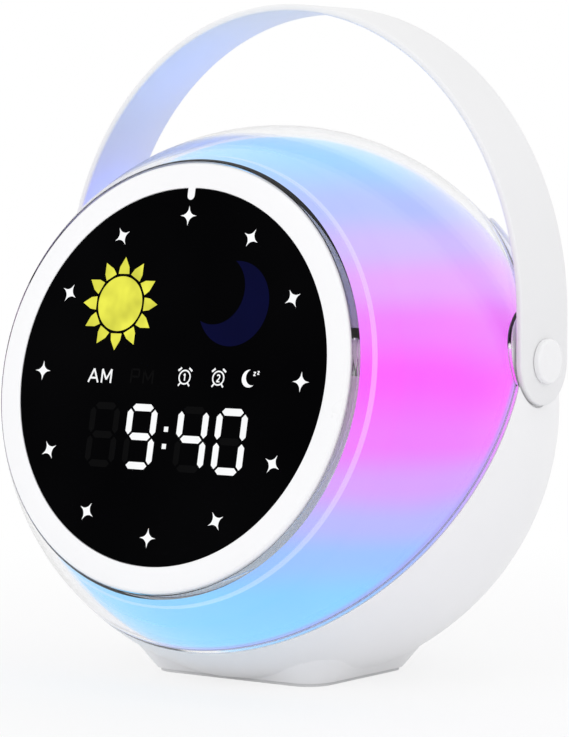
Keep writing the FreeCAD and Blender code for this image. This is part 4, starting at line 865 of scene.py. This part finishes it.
# the lit dome's blue light on the inside of the handle
DOME_GLOW_LEANS = (-55, -20, 20, 55)
DOME_GLOW_ENERGY = 0.0022
DOME_GLOW_SIZE = 0.02
DOME_GLOW_COLOUR = (0.06, 0.2, 1.0)
# the world's strength on the object, and where the camera or a gloss sees it
WORLD_ON_OBJECT = 0.8
WORLD_SEEN = 1.0

def make_stage():
    bpy.ops.mesh.primitive_plane_add(size=12)
    floor = bpy.context.object
    floor.name = "floor"
    nodes = Nodes("floor_paper")
    place = nodes.place()
    nodes.set(Roughness=0.7)
    stops = [(0.3, linear(240, 240, 242)), (0.7, linear(244, 244, 246))]
    nodes.link(nodes.ramp(nodes.noise(3.0, 3.0, place), stops), nodes.shader.inputs["Base Color"])
    distance = nodes.add("ShaderNodeVectorMath", operation="LENGTH")
    nodes.link(place, distance.inputs[0])
    white_share = nodes.span(distance.outputs["Value"], 0.06, 0.28, 0.78, 1.0, smooth=True)
    path = nodes.add("ShaderNodeLightPath")
    seen = nodes.maths("MAXIMUM", path.outputs["Is Camera Ray"], path.outputs["Is Glossy Ray"])
    seen = nodes.maths("MAXIMUM", seen, path.outputs["Is Transmission Ray"])
    glow = nodes.add("ShaderNodeEmission", Color=(1, 1, 1, 1), Strength=1.0)
    mix = nodes.add("ShaderNodeMixShader")
    nodes.link(nodes.maths("MULTIPLY", seen, white_share), mix.inputs[0])
    nodes.link(nodes.shader.outputs[0], mix.inputs[1])
    nodes.link(glow.outputs[0], mix.inputs[2])
    nodes.link(mix.outputs[0], nodes.output.inputs["Surface"])
    floor.data.materials.append(nodes.material)


def make_world():
    world = bpy.data.worlds.new("studio")
    bpy.context.scene.world = world
    world.use_nodes = True
    tree = world.node_tree
    background = tree.nodes["Background"]
    background.inputs["Color"].default_value = (1, 1, 1, 1)
    path = tree.nodes.new("ShaderNodeLightPath")
    highest = None
    for output in ("Is Camera Ray", "Is Glossy Ray", "Is Transmission Ray"):
        if highest is None:
            highest = path.outputs[output]
            continue
        node = tree.nodes.new("ShaderNodeMath")
        node.operation = "MAXIMUM"
        tree.links.new(highest, node.inputs[0])
        tree.links.new(path.outputs[output], node.inputs[1])
        highest = node.outputs["Value"]
    strength = tree.nodes.new("ShaderNodeMapRange")
    tree.links.new(highest, strength.inputs["Value"])
    strength.inputs["To Min"].default_value = WORLD_ON_OBJECT
    strength.inputs["To Max"].default_value = WORLD_SEEN
    tree.links.new(strength.outputs["Result"], background.inputs["Strength"])


def area_light(name, place, energy, size, colour=(1, 1, 1), aim=(0, 0, 0.07)):
    light = bpy.data.lights.new(name, "AREA")
    light.energy = energy
    light.size = size
    light.color = colour
    lamp = bpy.data.objects.new(name, light)
    lamp.location = place
    run = Vector(aim) - Vector(place)
    lamp.rotation_euler = run.to_track_quat("-Z", "Y").to_euler()
    lamp.visible_camera = lamp.visible_glossy = lamp.visible_transmission = False
    bpy.context.scene.collection.objects.link(lamp)


def make_lights():
    for name, place, energy, size in STUDIO_LAMPS:
        area_light(name, place, energy, size)
    for number, degrees in enumerate(DOME_GLOW_LEANS, start=1):
        lean = math.radians(degrees)
        outward = Vector((math.sin(lean), 0, math.cos(lean)))
        place = BALL_CENTRE + outward * (BALL_RADIUS + 1) + Vector((0, PIVOT.y, 0))
        aim = place * 2 - BALL_CENTRE
        area_light(f"dome_glow_{number}", place * MM, DOME_GLOW_ENERGY, DOME_GLOW_SIZE,
                   DOME_GLOW_COLOUR, aim * MM)


def make_camera():
    data = bpy.data.cameras.new("camera")
    data.lens = CAMERA_LENS
    data.sensor_width = CAMERA_SENSOR
    data.sensor_fit = "AUTO"
    data.clip_start = 0.05
    camera = bpy.data.objects.new("camera", data)
    back = CAMERA_BACK.normalized()
    right = (CAMERA_RIGHT - back * CAMERA_RIGHT.dot(back)).normalized()
    up = back.cross(right)
    turn = Matrix((right, up, back)).transposed().to_4x4()
    camera.matrix_world = Matrix.Translation(CAMERA_PLACE) @ turn
    bpy.context.scene.collection.objects.link(camera)
    bpy.context.scene.camera = camera


make_camera()
make_dome()
make_bezel()
make_window()
make_marks()
make_handle()
make_caps()
dress_nodes()
make_stage()
make_world()
make_lights()
bpy.context.scene.view_settings.view_transform = "Standard"
